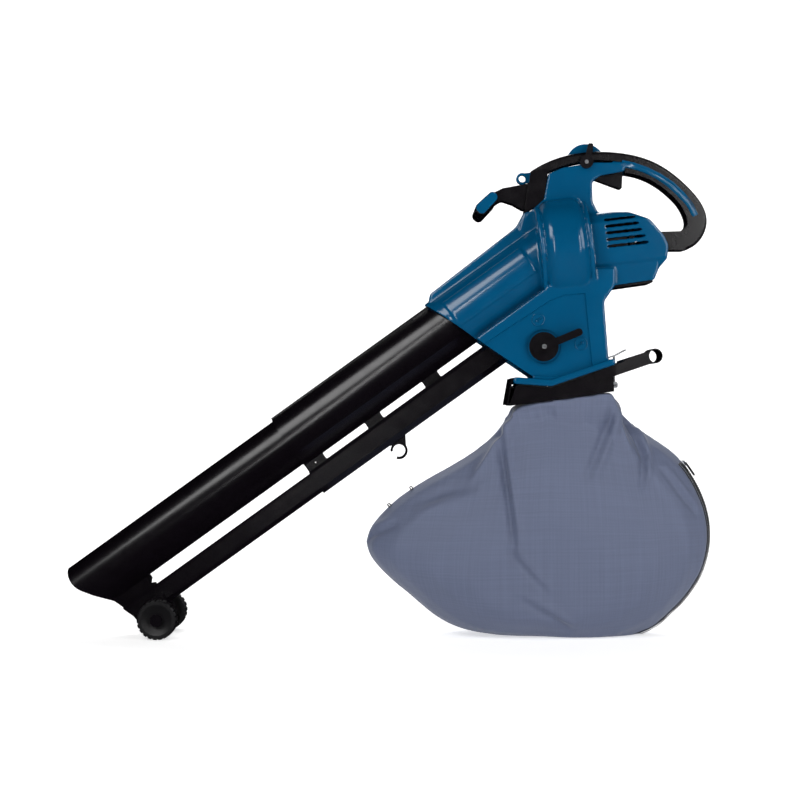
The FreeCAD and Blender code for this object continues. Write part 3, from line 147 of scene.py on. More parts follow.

# %% [markdown]
# ## Metals
# Screws, pins and the latch are steel with bright zinc. Plating follows the drawn wire's fine lines,
# so a noise stretched along one axis gives the streaks. The motor's iron is a stack of thin sheets,
# which the same noise, squeezed along that axis instead, shows as fine bands.

# %% Recipe for metals
def plated(name, tint, roughness, streak_mm, stretch, depth_mm):
    """Metal with drawn or ground streaks: streak_mm across, and stretch times longer along X."""
    material, shader = new_finish(name, Metallic=1.0)
    place = add(material, "ShaderNodeTexCoord")
    turn = add(material, "ShaderNodeMapping", {"Vector": place.outputs["Object"], "Scale": (1 / stretch, 1.0, 1.0)})
    streaks = add(material, "ShaderNodeTexNoise", {"Vector": turn.outputs["Vector"], "Scale": 1 / (streak_mm * MM),
                                                   "Detail": 3.0, "Roughness": 0.6})
    tone = add(material, "ShaderNodeMix", {"Factor": streaks.outputs["Fac"], "A": linear(tint[0]),
                                           "B": linear(tint[1])}, data_type="RGBA")
    join(material, tone.outputs["Result"], shader, "Base Color")
    shine = add(material, "ShaderNodeMapRange", {"Value": streaks.outputs["Fac"], "To Min": roughness - 0.08,
                                                 "To Max": roughness + 0.08})
    join(material, shine.outputs["Result"], shader, "Roughness")
    bump = add(material, "ShaderNodeBump", {"Height": streaks.outputs["Fac"], "Distance": depth_mm * MM,
                                            "Strength": 0.5})
    join(material, bump.outputs["Normal"], shader, "Normal")
    return material


# %% Metals
bright_zinc = plated("steel_bright_zinc", ("#b9bcc2", "#d5d7da"), 0.28, 0.8, 12, 0.02)
ground_steel = plated("steel_ground", ("#9c9ea3", "#b8babe"), 0.3, 0.6, 6, 0.02)
stacked_iron = plated("iron_stacked_sheets", ("#55565a", "#77787c"), 0.4, 0.9, 0.2, 0.05)
print("made 3 metals")

# %% [markdown]
# ## Cloth finishes
# The bag is plain-woven polyester. Two waves at right angles give warp and weft: where the warp is up
# the weft is down. Real threads are 0.4 mm apart, which is too fine to see from a few metres, so they
# are drawn 1.2 mm apart. Slow streaks along each direction stand for uneven yarn.

# %% Recipe for woven cloth
def woven(name, dark, light, thread_mm, depth_mm, streak_strength, source="UV", **sockets):
    """Plain weave. Reads the piece's UV map, laid out in metres, or its Object coordinates."""
    material, shader = new_finish(name, **sockets)
    place = add(material, "ShaderNodeTexCoord")
    parts = add(material, "ShaderNodeSeparateXYZ", {"Vector": place.outputs[source]})
    across, along = parts.outputs["X"], parts.outputs["Z" if source == "Object" else "Y"]
    swing = []
    for line in (across, along):
        phase = add(material, "ShaderNodeMath", {0: line, 1: math.pi / (thread_mm * MM)}, operation="MULTIPLY")
        swing.append(add(material, "ShaderNodeMath", {0: phase.outputs[0]}, operation="SINE"))
    # The product of the two waves is a chequer of rounded crossings.
    weave = add(material, "ShaderNodeMath", {0: swing[0].outputs[0], 1: swing[1].outputs[0]}, operation="MULTIPLY")
    streaks = []
    for scale in ((1 / 60, 1.0, 1 / 60), (1.0, 1 / 60, 1.0)):
        squeeze = add(material, "ShaderNodeMapping", {"Vector": place.outputs[source], "Scale": scale})
        streaks.append(add(material, "ShaderNodeTexNoise", {"Vector": squeeze.outputs["Vector"],
                                                            "Scale": 1 / (2.6 * MM), "Detail": 2.0}))
    yarn = add(material, "ShaderNodeMath", {0: streaks[0].outputs["Fac"], 1: streaks[1].outputs["Fac"]},
               operation="ADD")
    level = add(material, "ShaderNodeMapRange", {"Value": yarn.outputs[0], "From Min": 0.7, "From Max": 1.3,
                                                 "To Min": -streak_strength, "To Max": streak_strength})
    fleck = add(material, "ShaderNodeMath", {0: weave.outputs[0], 1: 0.12, 2: 0.5}, operation="MULTIPLY_ADD")
    share = add(material, "ShaderNodeMath", {0: fleck.outputs[0], 1: level.outputs["Result"]}, operation="ADD",
                use_clamp=True)
    tone = add(material, "ShaderNodeMix", {"Factor": share.outputs[0], "A": linear(dark), "B": linear(light)},
               data_type="RGBA")
    join(material, tone.outputs["Result"], shader, "Base Color")
    bump = add(material, "ShaderNodeBump", {"Height": weave.outputs[0], "Distance": depth_mm * MM,
                                            "Strength": 0.5})
    join(material, bump.outputs["Normal"], shader, "Normal")
    return material


# %% Cloths
bag_cloth = woven("polyester_plain_weave_grey", "#4f5870", "#666f8a", 1.2, 0.12, 0.16, "UV",
                  Roughness=0.62, Sheen_Weight=0.25, Sheen_Roughness=0.4, IOR=1.54)
dark_webbing = woven("polyester_webbing_black", "#0d0d10", "#1c1c21", 1.6, 0.3, 0.2, "Object",
                     Roughness=0.7, Sheen_Weight=0.2, Sheen_Roughness=0.5, IOR=1.54)
print("made 2 cloths")

# %% [markdown]
# ## Finishes for the CAD pieces
# Each CAD piece keeps its exact shape and gets the finish of its real material.

# %% Dress the CAD pieces
finish_of = {
    gloss_teal: ["housing_left", "housing_right", "strap_ring", "front_grip_cap_left", "front_grip_cap_right",
                 "speed_dial"],
    satin_black: ["lower_nozzle", "upper_nozzle", "wheel_bracket", "axle_cap_left", "axle_cap_right",
                  "lock_button", "bag_hook", "fan_case_front", "fan_case_rear", "intake_duct",
                  "motor_mount_front", "motor_mount_rear", "motor_sleeve", "nose_cover", "trigger", "speed_arm",
                  "change_lever", "flap", "battery_rails", "terminal_block", "front_grip_arm", "bag_adaptor",
                  "bag_collar", "front_hook", "bag_handle", "trigger_switch"],
    soft_black: ["grip_top", "grip_under", "grip_tail", "front_grip_bar"],
    seal_rubber: ["port_seal"],
    wheel_black: ["wheel_left", "wheel_right"],
    white_nylon: ["impeller"],
    board_green: ["controller"],
    bright_zinc: ["housing_screws", "lever_screw", "bag_latch", "latch_pin", "latch_bracket", "zip_slider",
                  "impeller_nut"],
    ground_steel: ["wheel_axle", "motor_shaft", "bearing_front", "bearing_rear", "trigger_pin", "speed_shaft",
                   "flap_shaft"],
    stacked_iron: ["motor_rotor", "motor_stator"],
    bag_cloth: ["bag"],
    dark_webbing: ["bag_zip", "bag_loops"],
}
for material, names in finish_of.items():
    for name in names:
        nodes[name].data.materials.clear()
        nodes[name].data.materials.append(material)
print("dressed", sum(len(names) for names in finish_of.values()), "of", len(nodes), "pieces")

# %% [markdown]
# ## The moulded housing
# The real housing comes out of a steel mould, and every inner and outer corner is rounded so that the
# plastic flows. CAD joins plain prisms and cylinders, whose edges are sharp. Bevelling those joints
# edge by edge fails where curves meet. So each half is copied, wrapped in a new skin of even small
# squares with a voxel remesh, and smoothed, which rounds all corners by a few millimetres at once.

# %% Helpers for reworked pieces
def show(name, form, material, body, smooth=True):
    """Turns a bmesh into a piece at the origin that rides on a body."""
    mesh = bpy.data.meshes.new(name)
    form.to_mesh(mesh)
    form.free()
    for face in mesh.polygons:
        face.use_smooth = smooth
    piece = bpy.data.objects.new(name, mesh)
    bpy.context.scene.collection.objects.link(piece)
    if material:
        mesh.materials.append(material)
    if body:
        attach(piece, body)
    return piece


def finish_with(piece, kind, **settings):
    """Adds one modifier with its settings and applies it to the mesh."""
    modifier = piece.modifiers.new(kind.lower(), kind)
    for name, value in settings.items():
        setattr(modifier, name, value)
    bpy.context.view_layer.update()
    result = bpy.data.meshes.new_from_object(piece.evaluated_get(bpy.context.evaluated_depsgraph_get()))
    piece.modifiers.clear()
    old, piece.data = piece.data, result
    bpy.data.meshes.remove(old)
    return piece


def plate(outline, y_low, y_high):
    """A flat plate: an outline in X and Z, in millimetres, from y_low to y_high."""
    form = bmesh.new()
    face = form.faces.new([form.verts.new((x * MM, y_low * MM, z * MM)) for x, z in outline])
    moved = bmesh.ops.extrude_face_region(form, geom=[face])
    far = [v for v in moved["geom"] if isinstance(v, bmesh.types.BMVert)]
    bmesh.ops.translate(form, vec=(0.0, (y_high - y_low) * MM, 0.0), verts=far)
    bmesh.ops.recalc_face_normals(form, faces=form.faces)
    return form


def copy_of(node):
    """A welded copy of a CAD node's mesh, as a bmesh."""
    form = bmesh.new()
    form.from_mesh(nodes[node].data)
    bmesh.ops.remove_doubles(form, verts=form.verts, dist=0.02 * MM)
    return form


def put_together(name, forms):
    """Several bmeshes as one loose object, for a cutter or for a remesh to fuse."""
    whole = bmesh.new()
    for form in forms:
        part = bpy.data.meshes.new("part")
        form.to_mesh(part)
        form.free()
        whole.from_mesh(part)
        bpy.data.meshes.remove(part)
    return show(name, whole, None, None)


print("helpers ready")

# %% Places on the housing
# The big tube's axis, tilted like the nozzle, and the change lever's hinge, both from the CAD frame.
tube_way = Vector(joints["nozzle_slide"]["axis"])
tube_up = Vector((-tube_way.z, 0.0, tube_way.x))
tube_start = Vector((-131.9, 0.0, 313.9)) * MM
lever = Vector(joints["change_lever_turn"]["pos_m"])
fan = Vector(joints["fan_spin"]["pos_m"])
fan_way = Vector(joints["fan_spin"]["axis"])
print("lever hinge", [round(v, 4) for v in lever], "fan centre", [round(v, 4) for v in fan])

# %% Raised bands along the trunk
def trunk_band(from_deg, to_deg, start_mm, end_mm, radius_mm, side):
    """A strip that stands a little proud of the trunk between two angles below its side."""
    form = bmesh.new()
    steps = 8
    inner, outer = (radius_mm - 4) * MM, radius_mm * MM
    ring = []
    for step in range(steps + 1):
        angle = math.radians(from_deg + (to_deg - from_deg) * step / steps)
        ring.append((outer, angle))
    for step in range(steps, -1, -1):
        angle = math.radians(from_deg + (to_deg - from_deg) * step / steps)
        ring.append((inner, angle))
    corner = []
    for reach, angle in ring:
        spot = tube_start + tube_way * start_mm * MM + tube_up * reach * math.sin(angle)
        corner.append(form.verts.new(spot + Vector((0.0, side * reach * math.cos(angle), 0.0))))
    face = form.faces.new(corner)
    moved = bmesh.ops.extrude_face_region(form, geom=[face])
    far = [v for v in moved["geom"] if isinstance(v, bmesh.types.BMVert)]
    bmesh.ops.translate(form, vec=tube_way * (end_mm - start_mm) * MM, verts=far)
    bmesh.ops.recalc_face_normals(form, faces=form.faces)
    return form


# %% Cutters for the side panels, the vents and the lever's marks
def slot(start_mm, end_mm, above_mm, height, y_low, y_high):
    """A round-ended slot cutter along the motor's axis, between two distances from the fan's centre."""
    ends = []
    up = Vector((-fan_way.z, 0.0, fan_way.x))
    for along, turn in ((end_mm, -90), (start_mm, 90)):
        for step in range(7):
            angle = math.radians(turn + 30 * step)
            spot = fan / MM + fan_way * (along + height / 2 * math.cos(angle))
            spot += up * (above_mm + height / 2 * math.sin(angle))
            ends.append((spot.x, spot.z))
    return plate(ends, y_low, y_high)


def fan_disc(start_mm, end_mm, radius_mm):
    """A disc about the fan's axis."""
    form = bmesh.new()
    length = end_mm - start_mm
    turn = fan_way.to_track_quat("Z", "Y").to_matrix().to_4x4()
    place = Matrix.Translation(fan + fan_way * (start_mm + length / 2) * MM) @ turn
    bmesh.ops.create_cone(form, cap_ends=True, segments=96, radius1=radius_mm * MM, radius2=radius_mm * MM,
                          depth=length * MM, matrix=place)
    return form


def lever_disc(radius_mm, y_low, y_high):
    """A disc about the change lever's hinge."""
    form = bmesh.new()
    place = Matrix.Translation((lever.x, (y_low + y_high) / 2 * MM, lever.z)) @ Matrix.Rotation(math.pi / 2, 4, "X")
    bmesh.ops.create_cone(form, cap_ends=True, segments=96, radius1=radius_mm * MM, radius2=radius_mm * MM,
                          depth=(y_high - y_low) * MM, matrix=place)
    return form


def groove_ring(centre, radius_mm, width_mm, y_low, y_high, from_deg=0.0, sweep_deg=360.0):
    """A square-section groove cutter on a circle about Y, as a spun rectangle."""
    form = bmesh.new()
    corners = [(radius_mm - width_mm / 2, y_low), (radius_mm + width_mm / 2, y_low),
               (radius_mm + width_mm / 2, y_high), (radius_mm - width_mm / 2, y_high)]
    start = [form.verts.new((centre.x + r * MM, y * MM, centre.z)) for r, y in corners]
    face = form.faces.new(start)
    bmesh.ops.rotate(form, cent=(centre.x, 0.0, centre.z), verts=start,
                     matrix=Matrix.Rotation(math.radians(-from_deg), 3, "Y"))
    full = sweep_deg >= 360
    section = list(face.edges) if full else [face]
    if full:
        bmesh.ops.delete(form, geom=[face], context="FACES_ONLY")
    bmesh.ops.spin(form, geom=section, cent=(centre.x, 0.0, centre.z), axis=(0.0, -1.0, 0.0),
                   angle=math.radians(sweep_deg), steps=64 if full else 20, use_merge=full)
    bmesh.ops.recalc_face_normals(form, faces=form.faces)
    return form


# The panel around the change lever is let in to y = 47.6 mm on both sides, with a sloping wall.
panel = [(112, 424), (232, 503), (252, 511), (284, 514), (295, 402), (236, 391), (192, 394), (170, 384)]
# Five air outlets, each with its start, end and height in the motor's own direction.
vents = [(64.0, 108.0 + 3.8 * row, 34.0 - 10.0 * row) for row in range(5)]
print("cutters ready")

# %% Rework the housing halves
def rework_housing(node, side):
    """One half with rounded corners, side panels, vents and the lever's grooves. side is -1 for the left."""
    collars = [fan_disc(-39.0, -33.0, 73.5), fan_disc(33.0, 39.0, 73.5)]
    for collar in collars:
        whole = [*collar.verts, *collar.edges, *collar.faces]
        cut = bmesh.ops.bisect_plane(collar, geom=whole, plane_co=(0, side * 30 * MM, 0),
                                     plane_no=(0, side, 0), clear_inner=True)
        rim = [e for e in cut["geom_cut"] if isinstance(e, bmesh.types.BMEdge)]
        bmesh.ops.contextual_create(collar, geom=rim)
    rough = put_together(node + "_rough", [copy_of(node), trunk_band(-14, 42, 276, 417, 49.3, side), *collars])
    pocket = plate(panel, side * 47.6, side * 56.0)
    middle = sum((v.co for v in pocket.verts), Vector()) / len(pocket.verts)
    lip = [v for v in pocket.verts if abs(v.co.y) > 50 * MM]
    bmesh.ops.scale(pocket, vec=(1.07, 1.0, 1.07), space=Matrix.Translation(-middle), verts=lip)
    pockets = put_together("pockets", [pocket])
    island = put_together("island", [lever_disc(27.5, -90.0, 90.0)])
    finish_with(pockets, "BOOLEAN", operation="DIFFERENCE", solver="MANIFOLD", object=island)
    finish_with(rough, "REMESH", mode="VOXEL", voxel_size=1.3 * MM, adaptivity=0.0)
    finish_with(rough, "SMOOTH", factor=0.5, iterations=10)
    finish_with(rough, "BOOLEAN", operation="DIFFERENCE", solver="MANIFOLD", object=pockets)
    y_vent = sorted((side * 14.0, side * 60.0))
    cutters = [slot(start, end, above, 3.4, *y_vent) for start, end, above in vents]
    if side < 0:
        cutters.append(groove_ring(lever, 25.0, 1.6, -52.0, -47.2))
        cutters.append(groove_ring(lever, 56.0, 1.2, -52.0, -48.0, 30.0, 43.0))
    marks = put_together("marks", cutters)
    finish_with(rough, "BOOLEAN", operation="DIFFERENCE", solver="MANIFOLD", object=marks)
    finish_with(rough, "DECIMATE", ratio=0.55)
    for spare in (pockets, marks, island):
        bpy.data.objects.remove(spare)
    rough.name = node + "_moulded"
    rough.data.materials.clear()
    rough.data.materials.append(gloss_teal)
    for face in rough.data.polygons:
        face.use_smooth = True
    rough.data.set_sharp_from_angle(angle=math.radians(50))
    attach(rough, "machine")
    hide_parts(node)
    print(rough.name, len(rough.data.polygons), "faces")
    return rough


housing_left = rework_housing("housing_left", -1)
housing_right = rework_housing("housing_right", 1)

# %% [markdown]
# ## Inlays and raised signs
# A narrow strip of the housing's own colour runs down both sides of the loop handle, between the soft
# overmoulded parts. Two raised round signs on the left panel say which way the change lever blows and
# which way it sucks. The strip is laid onto the handle with rays, so that it follows the rounded sides.

# %% Handle inlays
handle_parts = [housing_left, housing_right, nodes["grip_top"], nodes["grip_under"], nodes["grip_tail"]]
handle_form = bmesh.new()
for part in handle_parts:
    handle_form.from_mesh(part.data)
handle_tree = BVHTree.FromBMesh(handle_form)
handle_form.free()
inlay_line = [(343.5, 713.6), (361.8, 709.8), (381.5, 703.0), (401.3, 693.1), (419.5, 681.0), (434.7, 666.5),
              (446.9, 650.6), (455.0, 634.0)]


def inlay(name, side):
    """A strip 8.4 mm wide on one side of the handle."""
    form = bmesh.new()
    rows = []
    for number, (x, z) in enumerate(inlay_line):
        before = Vector(inlay_line[max(number - 1, 0)])
        after = Vector(inlay_line[min(number + 1, len(inlay_line) - 1)])
        along = (after - before).normalized()
        row = []
        for across in (-4.2, -2.1, 0.0, 2.1, 4.2):
            spot = Vector(((x - along.y * across) * MM, side * 90 * MM, (z + along.x * across) * MM))
            hit = handle_tree.ray_cast(spot, Vector((0.0, -side, 0.0)))[0]
            skin_y = hit.y if hit else side * 17.5 * MM
            row.append(form.verts.new(Vector((spot.x, skin_y + side * 0.7 * MM, spot.z))))
        rows.append(row)
    for low, high in zip(rows, rows[1:]):
        for k in range(4):
            form.faces.new((low[k], low[k + 1], high[k + 1], high[k]))
    bmesh.ops.recalc_face_normals(form, faces=form.faces)
    if form.faces[:][0].normal.y * side < 0:
        bmesh.ops.reverse_faces(form, faces=form.faces)
    bmesh.ops.subdivide_edges(form, edges=form.edges[:], cuts=2, use_grid_fill=True, smooth=0.8)
    bmesh.ops.solidify(form, geom=form.faces[:], thickness=1.4 * MM)
    bmesh.ops.recalc_face_normals(form, faces=form.faces)
    piece = show(name, form, gloss_teal, "machine")
    piece.data.set_sharp_from_angle(angle=math.radians(50))
    return piece


inlays = [inlay("handle_inlay_left", -1), inlay("handle_inlay_right", 1)]
print("inlays", [len(piece.data.polygons) for piece in inlays])

# %% Raised signs beside the lever
def raised_sign(name, x_mm, z_mm, arrow_turn_deg):
    """A ring with an arrow in it, raised about 0.8 mm, on the left panel."""
    centre = Vector((x_mm * MM, 0.0, z_mm * MM))
    turn = math.radians(arrow_turn_deg)
    arrow = [(-5.5, -1.1), (0.6, -1.1), (0.6, -3.6), (6.0, 0.0), (0.6, 3.6), (0.6, 1.1), (-5.5, 1.1)]
    arrow = [(x_mm + a * math.cos(turn) - b * math.sin(turn), z_mm + a * math.sin(turn) + b * math.cos(turn))
             for a, b in arrow]
    piece = put_together(name, [groove_ring(centre, 9.3, 1.1, -48.4, -47.0), plate(arrow, -48.3, -47.0)])
    piece.data.materials.append(gloss_teal)
    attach(piece, "machine")
    return piece


signs = [raised_sign("sign_blow", 215.1, 475.0, 215.0), raised_sign("sign_suck", 278.9, 439.3, 35.0)]
print("signs", [len(piece.data.polygons) for piece in signs])

# %% [markdown]
# ## The collecting bag
# The bag is two flat panels of woven polyester sewn together round the edge and clamped to a collar. On
# the floor it slumps: the cloth is a little larger than the space it fills, so it folds. CAD holds its
# space as a smooth pillow. Here that pillow's skin becomes cloth with 4% spare length and a little air
# pressure inside. Twenty steps of simulation make it sag, and the result becomes the mesh.

# %% Helpers for the bag
def outer_skin(form):
    """Drops the faces of the hollow, which look at each other, and closes the neck."""
    tree = BVHTree.FromBMesh(form)
    inner = []
    for face in form.faces:
        start = face.calc_center_median() + face.normal * 0.5 * MM
        if tree.ray_cast(start, face.normal)[0] is not None:
            inner.append(face)
    bmesh.ops.delete(form, geom=inner, context="FACES")
    bmesh.ops.holes_fill(form, edges=[e for e in form.edges if e.is_boundary], sides=0)
    bmesh.ops.triangulate(form, faces=form.faces)
    print("bag: dropped", len(inner), "inner faces; open edges left", sum(e.is_boundary for e in form.edges))


def ramp(value, low, high):
    """0 below low, 1 above high, smooth between."""
    share = min(max((value - low) / (high - low), 0.0), 1.0)
    return share * share * (3 - 2 * share)


# %% The bag's skin
skin = copy_of("bag")
outer_skin(skin)
bag = show("bag_cloth", skin, bag_cloth, None)
finish_with(bag, "REMESH", mode="VOXEL", voxel_size=4.5 * MM, adaptivity=0.0)
finish_with(bag, "SMOOTH", factor=0.5, iterations=6)
bag_middle = Vector((0.26, 0.0, 0.17))
print("bag skin", len(bag.data.vertices), "points")

# %% Lay out the weave
def lay_weave(piece):
    """A UV map in metres: the panel's own flat cloth, which runs on past the edge to the seam."""
    layer = piece.data.uv_layers.new(name="cloth")
    flat = []
    for v in piece.data.vertices:
        spread = Vector((v.co.x - bag_middle.x, v.co.z - bag_middle.z))
        extra = 0.7 * (0.088 - abs(v.co.y))
        length = max(spread.length, 1e-6)
        flat.append(spread * (1 + extra * ramp(length, 0.0, 0.12) / length))
    for loop in piece.data.loops:
        layer.data[loop.index].uv = flat[loop.vertex_index]


lay_weave(bag)

# %% Slump the bag
def slump(piece, cap_mm, steps):
    """Runs the cloth and keeps the result, no point moving more than cap_mm from where it began."""
    scene = bpy.context.scene
    held = piece.vertex_groups.new(name="held")
    for v in piece.data.vertices:
        weight = ramp(v.co.z, 0.335, 0.36)
        if weight > 0:
            held.add([v.index], weight, "REPLACE")
    start = [v.co.copy() for v in piece.data.vertices]
    normals = [v.normal.copy() for v in piece.data.vertices]
    for v, normal in zip(piece.data.vertices, normals):
        v.co -= normal * 3 * MM * (1 - ramp(v.co.z, 0.32, 0.35))
    cloth = piece.modifiers.new("cloth", "CLOTH")
    rules = cloth.settings
    rules.quality = 6
    rules.mass = 0.3
    rules.tension_stiffness = 20
    rules.compression_stiffness = 20
    rules.shear_stiffness = 10
    rules.bending_stiffness = 1.5
    rules.use_pressure = True
    rules.uniform_pressure_force = 2.5
    rules.shrink_min = -0.045
    rules.vertex_group_mass = "held"
    rules.effector_weights.gravity = 0.25
    cloth.collision_settings.use_collision = False
    scene.frame_start, scene.frame_end = 1, steps
    for frame_number in range(1, steps + 1):
        scene.frame_set(frame_number)
    shape = piece.evaluated_get(bpy.context.evaluated_depsgraph_get()).to_mesh()
    ends = [v.co.copy() for v in shape.vertices]
    piece.modifiers.clear()
    piece.vertex_groups.clear()
    scene.frame_set(1)
    for v, first, last in zip(piece.data.vertices, start, ends):
        move = last - first
        if move.length > cap_mm * MM:
            move *= cap_mm * MM / move.length
        v.co = first + move
        v.co.z = max(v.co.z, 1.0 * MM)


slump(bag, 9.0, 20)

# %% [markdown]
# ## Folds from the neck
# Cloth that is gathered at a clamp hangs in long folds. A short simulation leaves them shallow, so
# each deep one is pressed in one by one: a valley along a given line, with a low ridge beside it.

# %% Folds that hang from the neck
def fold(piece, side, line, depth_mm, width_mm):
    """A valley along a line of (x, z) points in millimetres on one face, with a ridge beside it."""
    spots = [Vector(point) * MM for point in line]
    normals = [v.normal.copy() for v in piece.data.vertices]
    width = 0.8 * width_mm * MM
    for v, normal in zip(piece.data.vertices, normals):
        if v.co.y * side < 8 * MM:
            continue
        here = Vector((v.co.x, v.co.z))
        best, best_side, share = 1.0, 0.0, 0.0
        for number, (a, b) in enumerate(zip(spots, spots[1:])):
            along = b - a
            part = min(max((here - a).dot(along) / along.length_squared, 0.0), 1.0)
            gap = here - (a + along * part)
            if gap.length < best:
                best = gap.length
                best_side = 1.0 if along.x * gap.y - along.y * gap.x > 0 else -1.0
                share = (number + part) / (len(spots) - 1)
        if best > 4 * width:
            continue
        strength = math.sin(math.pi * min(0.08 + share * 0.92, 1.0)) ** 0.6
        valley = math.exp(-(best / width) ** 2)
        ridge = math.exp(-((best_side * best - 1.6 * width) / width) ** 2)
        v.co += normal * (0.7 * ridge - valley) * 1.7 * depth_mm * MM * strength


for line, depth, width in (
        ([(157, 318), (162, 264), (173, 173), (179, 112)], 5.0, 7.0),
        ([(344, 340), (366, 295), (374, 272), (368, 219)], 5.5, 6.0),
        ([(331, 348), (310, 295), (283, 234)], 4.0, 8.0),
        ([(404, 249), (430, 215), (458, 181)], 2.5, 6.0),
        ([(-44, 146), (-20, 160), (6, 172)], 3.0, 6.0),
        ([(169, 135), (199, 100), (230, 67)], 2.5, 6.0),
        ([(118, 230), (66, 214), (20, 196)], 2.5, 12.0),
        ([(190, 60), (240, 30), (268, 12)], 3.0, 7.0)):
    fold(bag, -1, line, depth, width)
for line, depth, width in (
        ([(170, 318), (176, 250), (186, 170), (200, 110)], 5.0, 7.0),
        ([(330, 345), (345, 300), (362, 262), (370, 210)], 5.0, 7.0),
        ([(300, 346), (286, 300), (262, 240)], 3.5, 9.0),
        ([(-30, 140), (10, 152), (60, 150)], 3.0, 9.0),
        ([(230, 120), (270, 86), (320, 60)], 2.5, 8.0)):
    fold(bag, 1, line, depth, width)
for v in bag.data.vertices:
    v.co.z = max(v.co.z, 1.0 * MM)
finish_with(bag, "SUBSURF", levels=1, render_levels=1)
for face in bag.data.polygons:
    face.use_smooth = True
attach(bag, "bag_unit")
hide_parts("bag")
print("bag has", len(bag.data.polygons), "faces")

# %% [markdown]
# ## Seam, zip and tabs
# The two panels meet in a seam round the edge, bound with a narrow folded strip and sewn twice. At the
# back and below, the seam opens on a coil zip, through which the leaves are emptied. These follow the
# slumped cloth, so each point of them is found by a ray from outside towards the bag's middle.

# %% Follow the bag's edge
bag_tree = BVHTree.FromPolygons([v.co for v in bag.data.vertices], [f.vertices for f in bag.data.polygons])


def rim(angle_deg, y_mm, lift_mm):
    """The point on the bag in that direction from its middle, y_mm off the centre plane, and the way out."""
    angle = math.radians(angle_deg)
    way = Vector((math.cos(angle), 0.0, math.sin(angle)))
    start = bag_middle + way * 0.5
    start.y = y_mm * MM
    spot, normal, _, _ = bag_tree.ray_cast(start, -way)
    if spot is None:
        spot, normal = bag_middle + way * 0.2, way
    spot = spot + normal * lift_mm * MM
    spot.z = max(spot.z, 3.0 * MM)  # nothing sewn on goes through the floor
    return spot, normal


def strip(name, material, from_deg, to_deg, half_mm, lift_mm, thick_mm, y_mm=0.0, step_deg=1.5):
    """A flat strip along the bag's edge, half_mm to each side of the plane at y_mm."""
    form = bmesh.new()
    count = max(2, round(abs(to_deg - from_deg) / step_deg))
    across = [-1.0, -0.5, 0.0, 0.5, 1.0]
    rows = []
    for step in range(count + 1):
        angle = from_deg + (to_deg - from_deg) * step / count
        rows.append([form.verts.new(rim(angle, y_mm + half_mm * part, lift_mm)[0]) for part in across])
    for low, high in zip(rows, rows[1:]):
        for k in range(len(across) - 1):
            form.faces.new((low[k], low[k + 1], high[k + 1], high[k]))
    bmesh.ops.smooth_vert(form, verts=form.verts, factor=0.4, use_axis_x=True, use_axis_y=False, use_axis_z=True)
    bmesh.ops.recalc_face_normals(form, faces=form.faces)
    if form.faces[:][0].normal.dot(rim(from_deg, 0.0, 0.0)[1]) < 0:
        bmesh.ops.reverse_faces(form, faces=form.faces)
    bmesh.ops.solidify(form, geom=list(form.faces), thickness=thick_mm * MM)
    bmesh.ops.recalc_face_normals(form, faces=form.faces)
    return show(name, form, material, "bag_unit")


def along_rim(from_deg, to_deg, pitch_mm):
    """Directions from the bag's middle that are pitch_mm apart along its edge."""
    found, angle = [], from_deg
    sign = 1.0 if to_deg > from_deg else -1.0
    while (to_deg - angle) * sign > 0:
        found.append(angle)
        reach = (rim(angle, 0.0, 0.0)[0] - bag_middle).length
        angle += sign * math.degrees(pitch_mm * MM / max(reach, 0.05))
    return found


def repeated(name, material, cell_form, places, body):
    """One small form copied to many places, as one piece."""
    pattern = bpy.data.meshes.new(name + "_one")
    cell_form.to_mesh(pattern)
    cell_form.free()
    whole = bmesh.new()
    for place in places:
        first = len(whole.verts)
        whole.from_mesh(pattern)
        whole.verts.ensure_lookup_table()
        bmesh.ops.transform(whole, matrix=place, verts=whole.verts[first:])
    bpy.data.meshes.remove(pattern)
    return show(name, whole, material, body)


zip_start, zip_end = 28.0, -85.0
zip_y = -11.0  # the tape turns a little towards the left side
binding_cloth = woven("polyester_binding_grey", "#4d566c", "#67708a", 1.2, 0.15, 0.12, "Object",
                      Roughness=0.7, Sheen_Weight=0.2, Sheen_Roughness=0.4, IOR=1.54)
thread = moulded("polyester_thread_pale", "#8d94a4", "#a2a9b8", 0.6, 0.1, 0.6, 0.7, IOR=1.54)
coil_nylon = moulded("nylon_zip_coil_black", "#0e0d10", "#18171a", 0.8, 0.03, 0.3, 0.42, IOR=1.53)

# %% Binding, zip tape and coil
binding_back = strip("bag_binding_back", binding_cloth, zip_start + 1, 56.0, 2.6, 0.5, 1.2)
binding_front = strip("bag_binding_front", binding_cloth, 118.0, 360.0 + zip_end - 1, 2.6, 0.5, 1.2)
zip_tape = strip("zip_tape", dark_webbing, zip_start, zip_end, 9.0, 0.6, 0.9, zip_y)
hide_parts("bag_zip")


def rim_frame(angle_deg, y_mm, lift_mm):
    """A place on the rim: Z points out of the cloth, X runs along the edge."""
    spot, out = rim(angle_deg, y_mm, lift_mm)
    onward = (rim(angle_deg + 1.0, y_mm, lift_mm)[0] - spot).normalized()
    side = out.cross(onward).normalized()
    onward = side.cross(out).normalized()
    return Matrix.Translation(spot) @ Matrix((onward, side, out)).transposed().to_4x4()


tooth = bmesh.new()
bmesh.ops.create_cube(tooth, size=1.0)
bmesh.ops.scale(tooth, vec=(1.3 * MM, 3.0 * MM, 1.6 * MM), verts=tooth.verts)
bmesh.ops.bevel(tooth, geom=[e for e in tooth.edges if abs(e.calc_length() - 3.0 * MM) < 1e-6], offset=0.4 * MM,
                offset_type="OFFSET", affect="EDGES", segments=1, profile=0.5, material=-1)
teeth = []
for number, angle in enumerate(along_rim(zip_start - 1, zip_end + 1, 1.9)):
    teeth.append(rim_frame(angle, zip_y + (0.9 if number % 2 else -0.9), 2.0))
zip_coil = repeated("zip_coil", coil_nylon, tooth, teeth, "bag_unit")

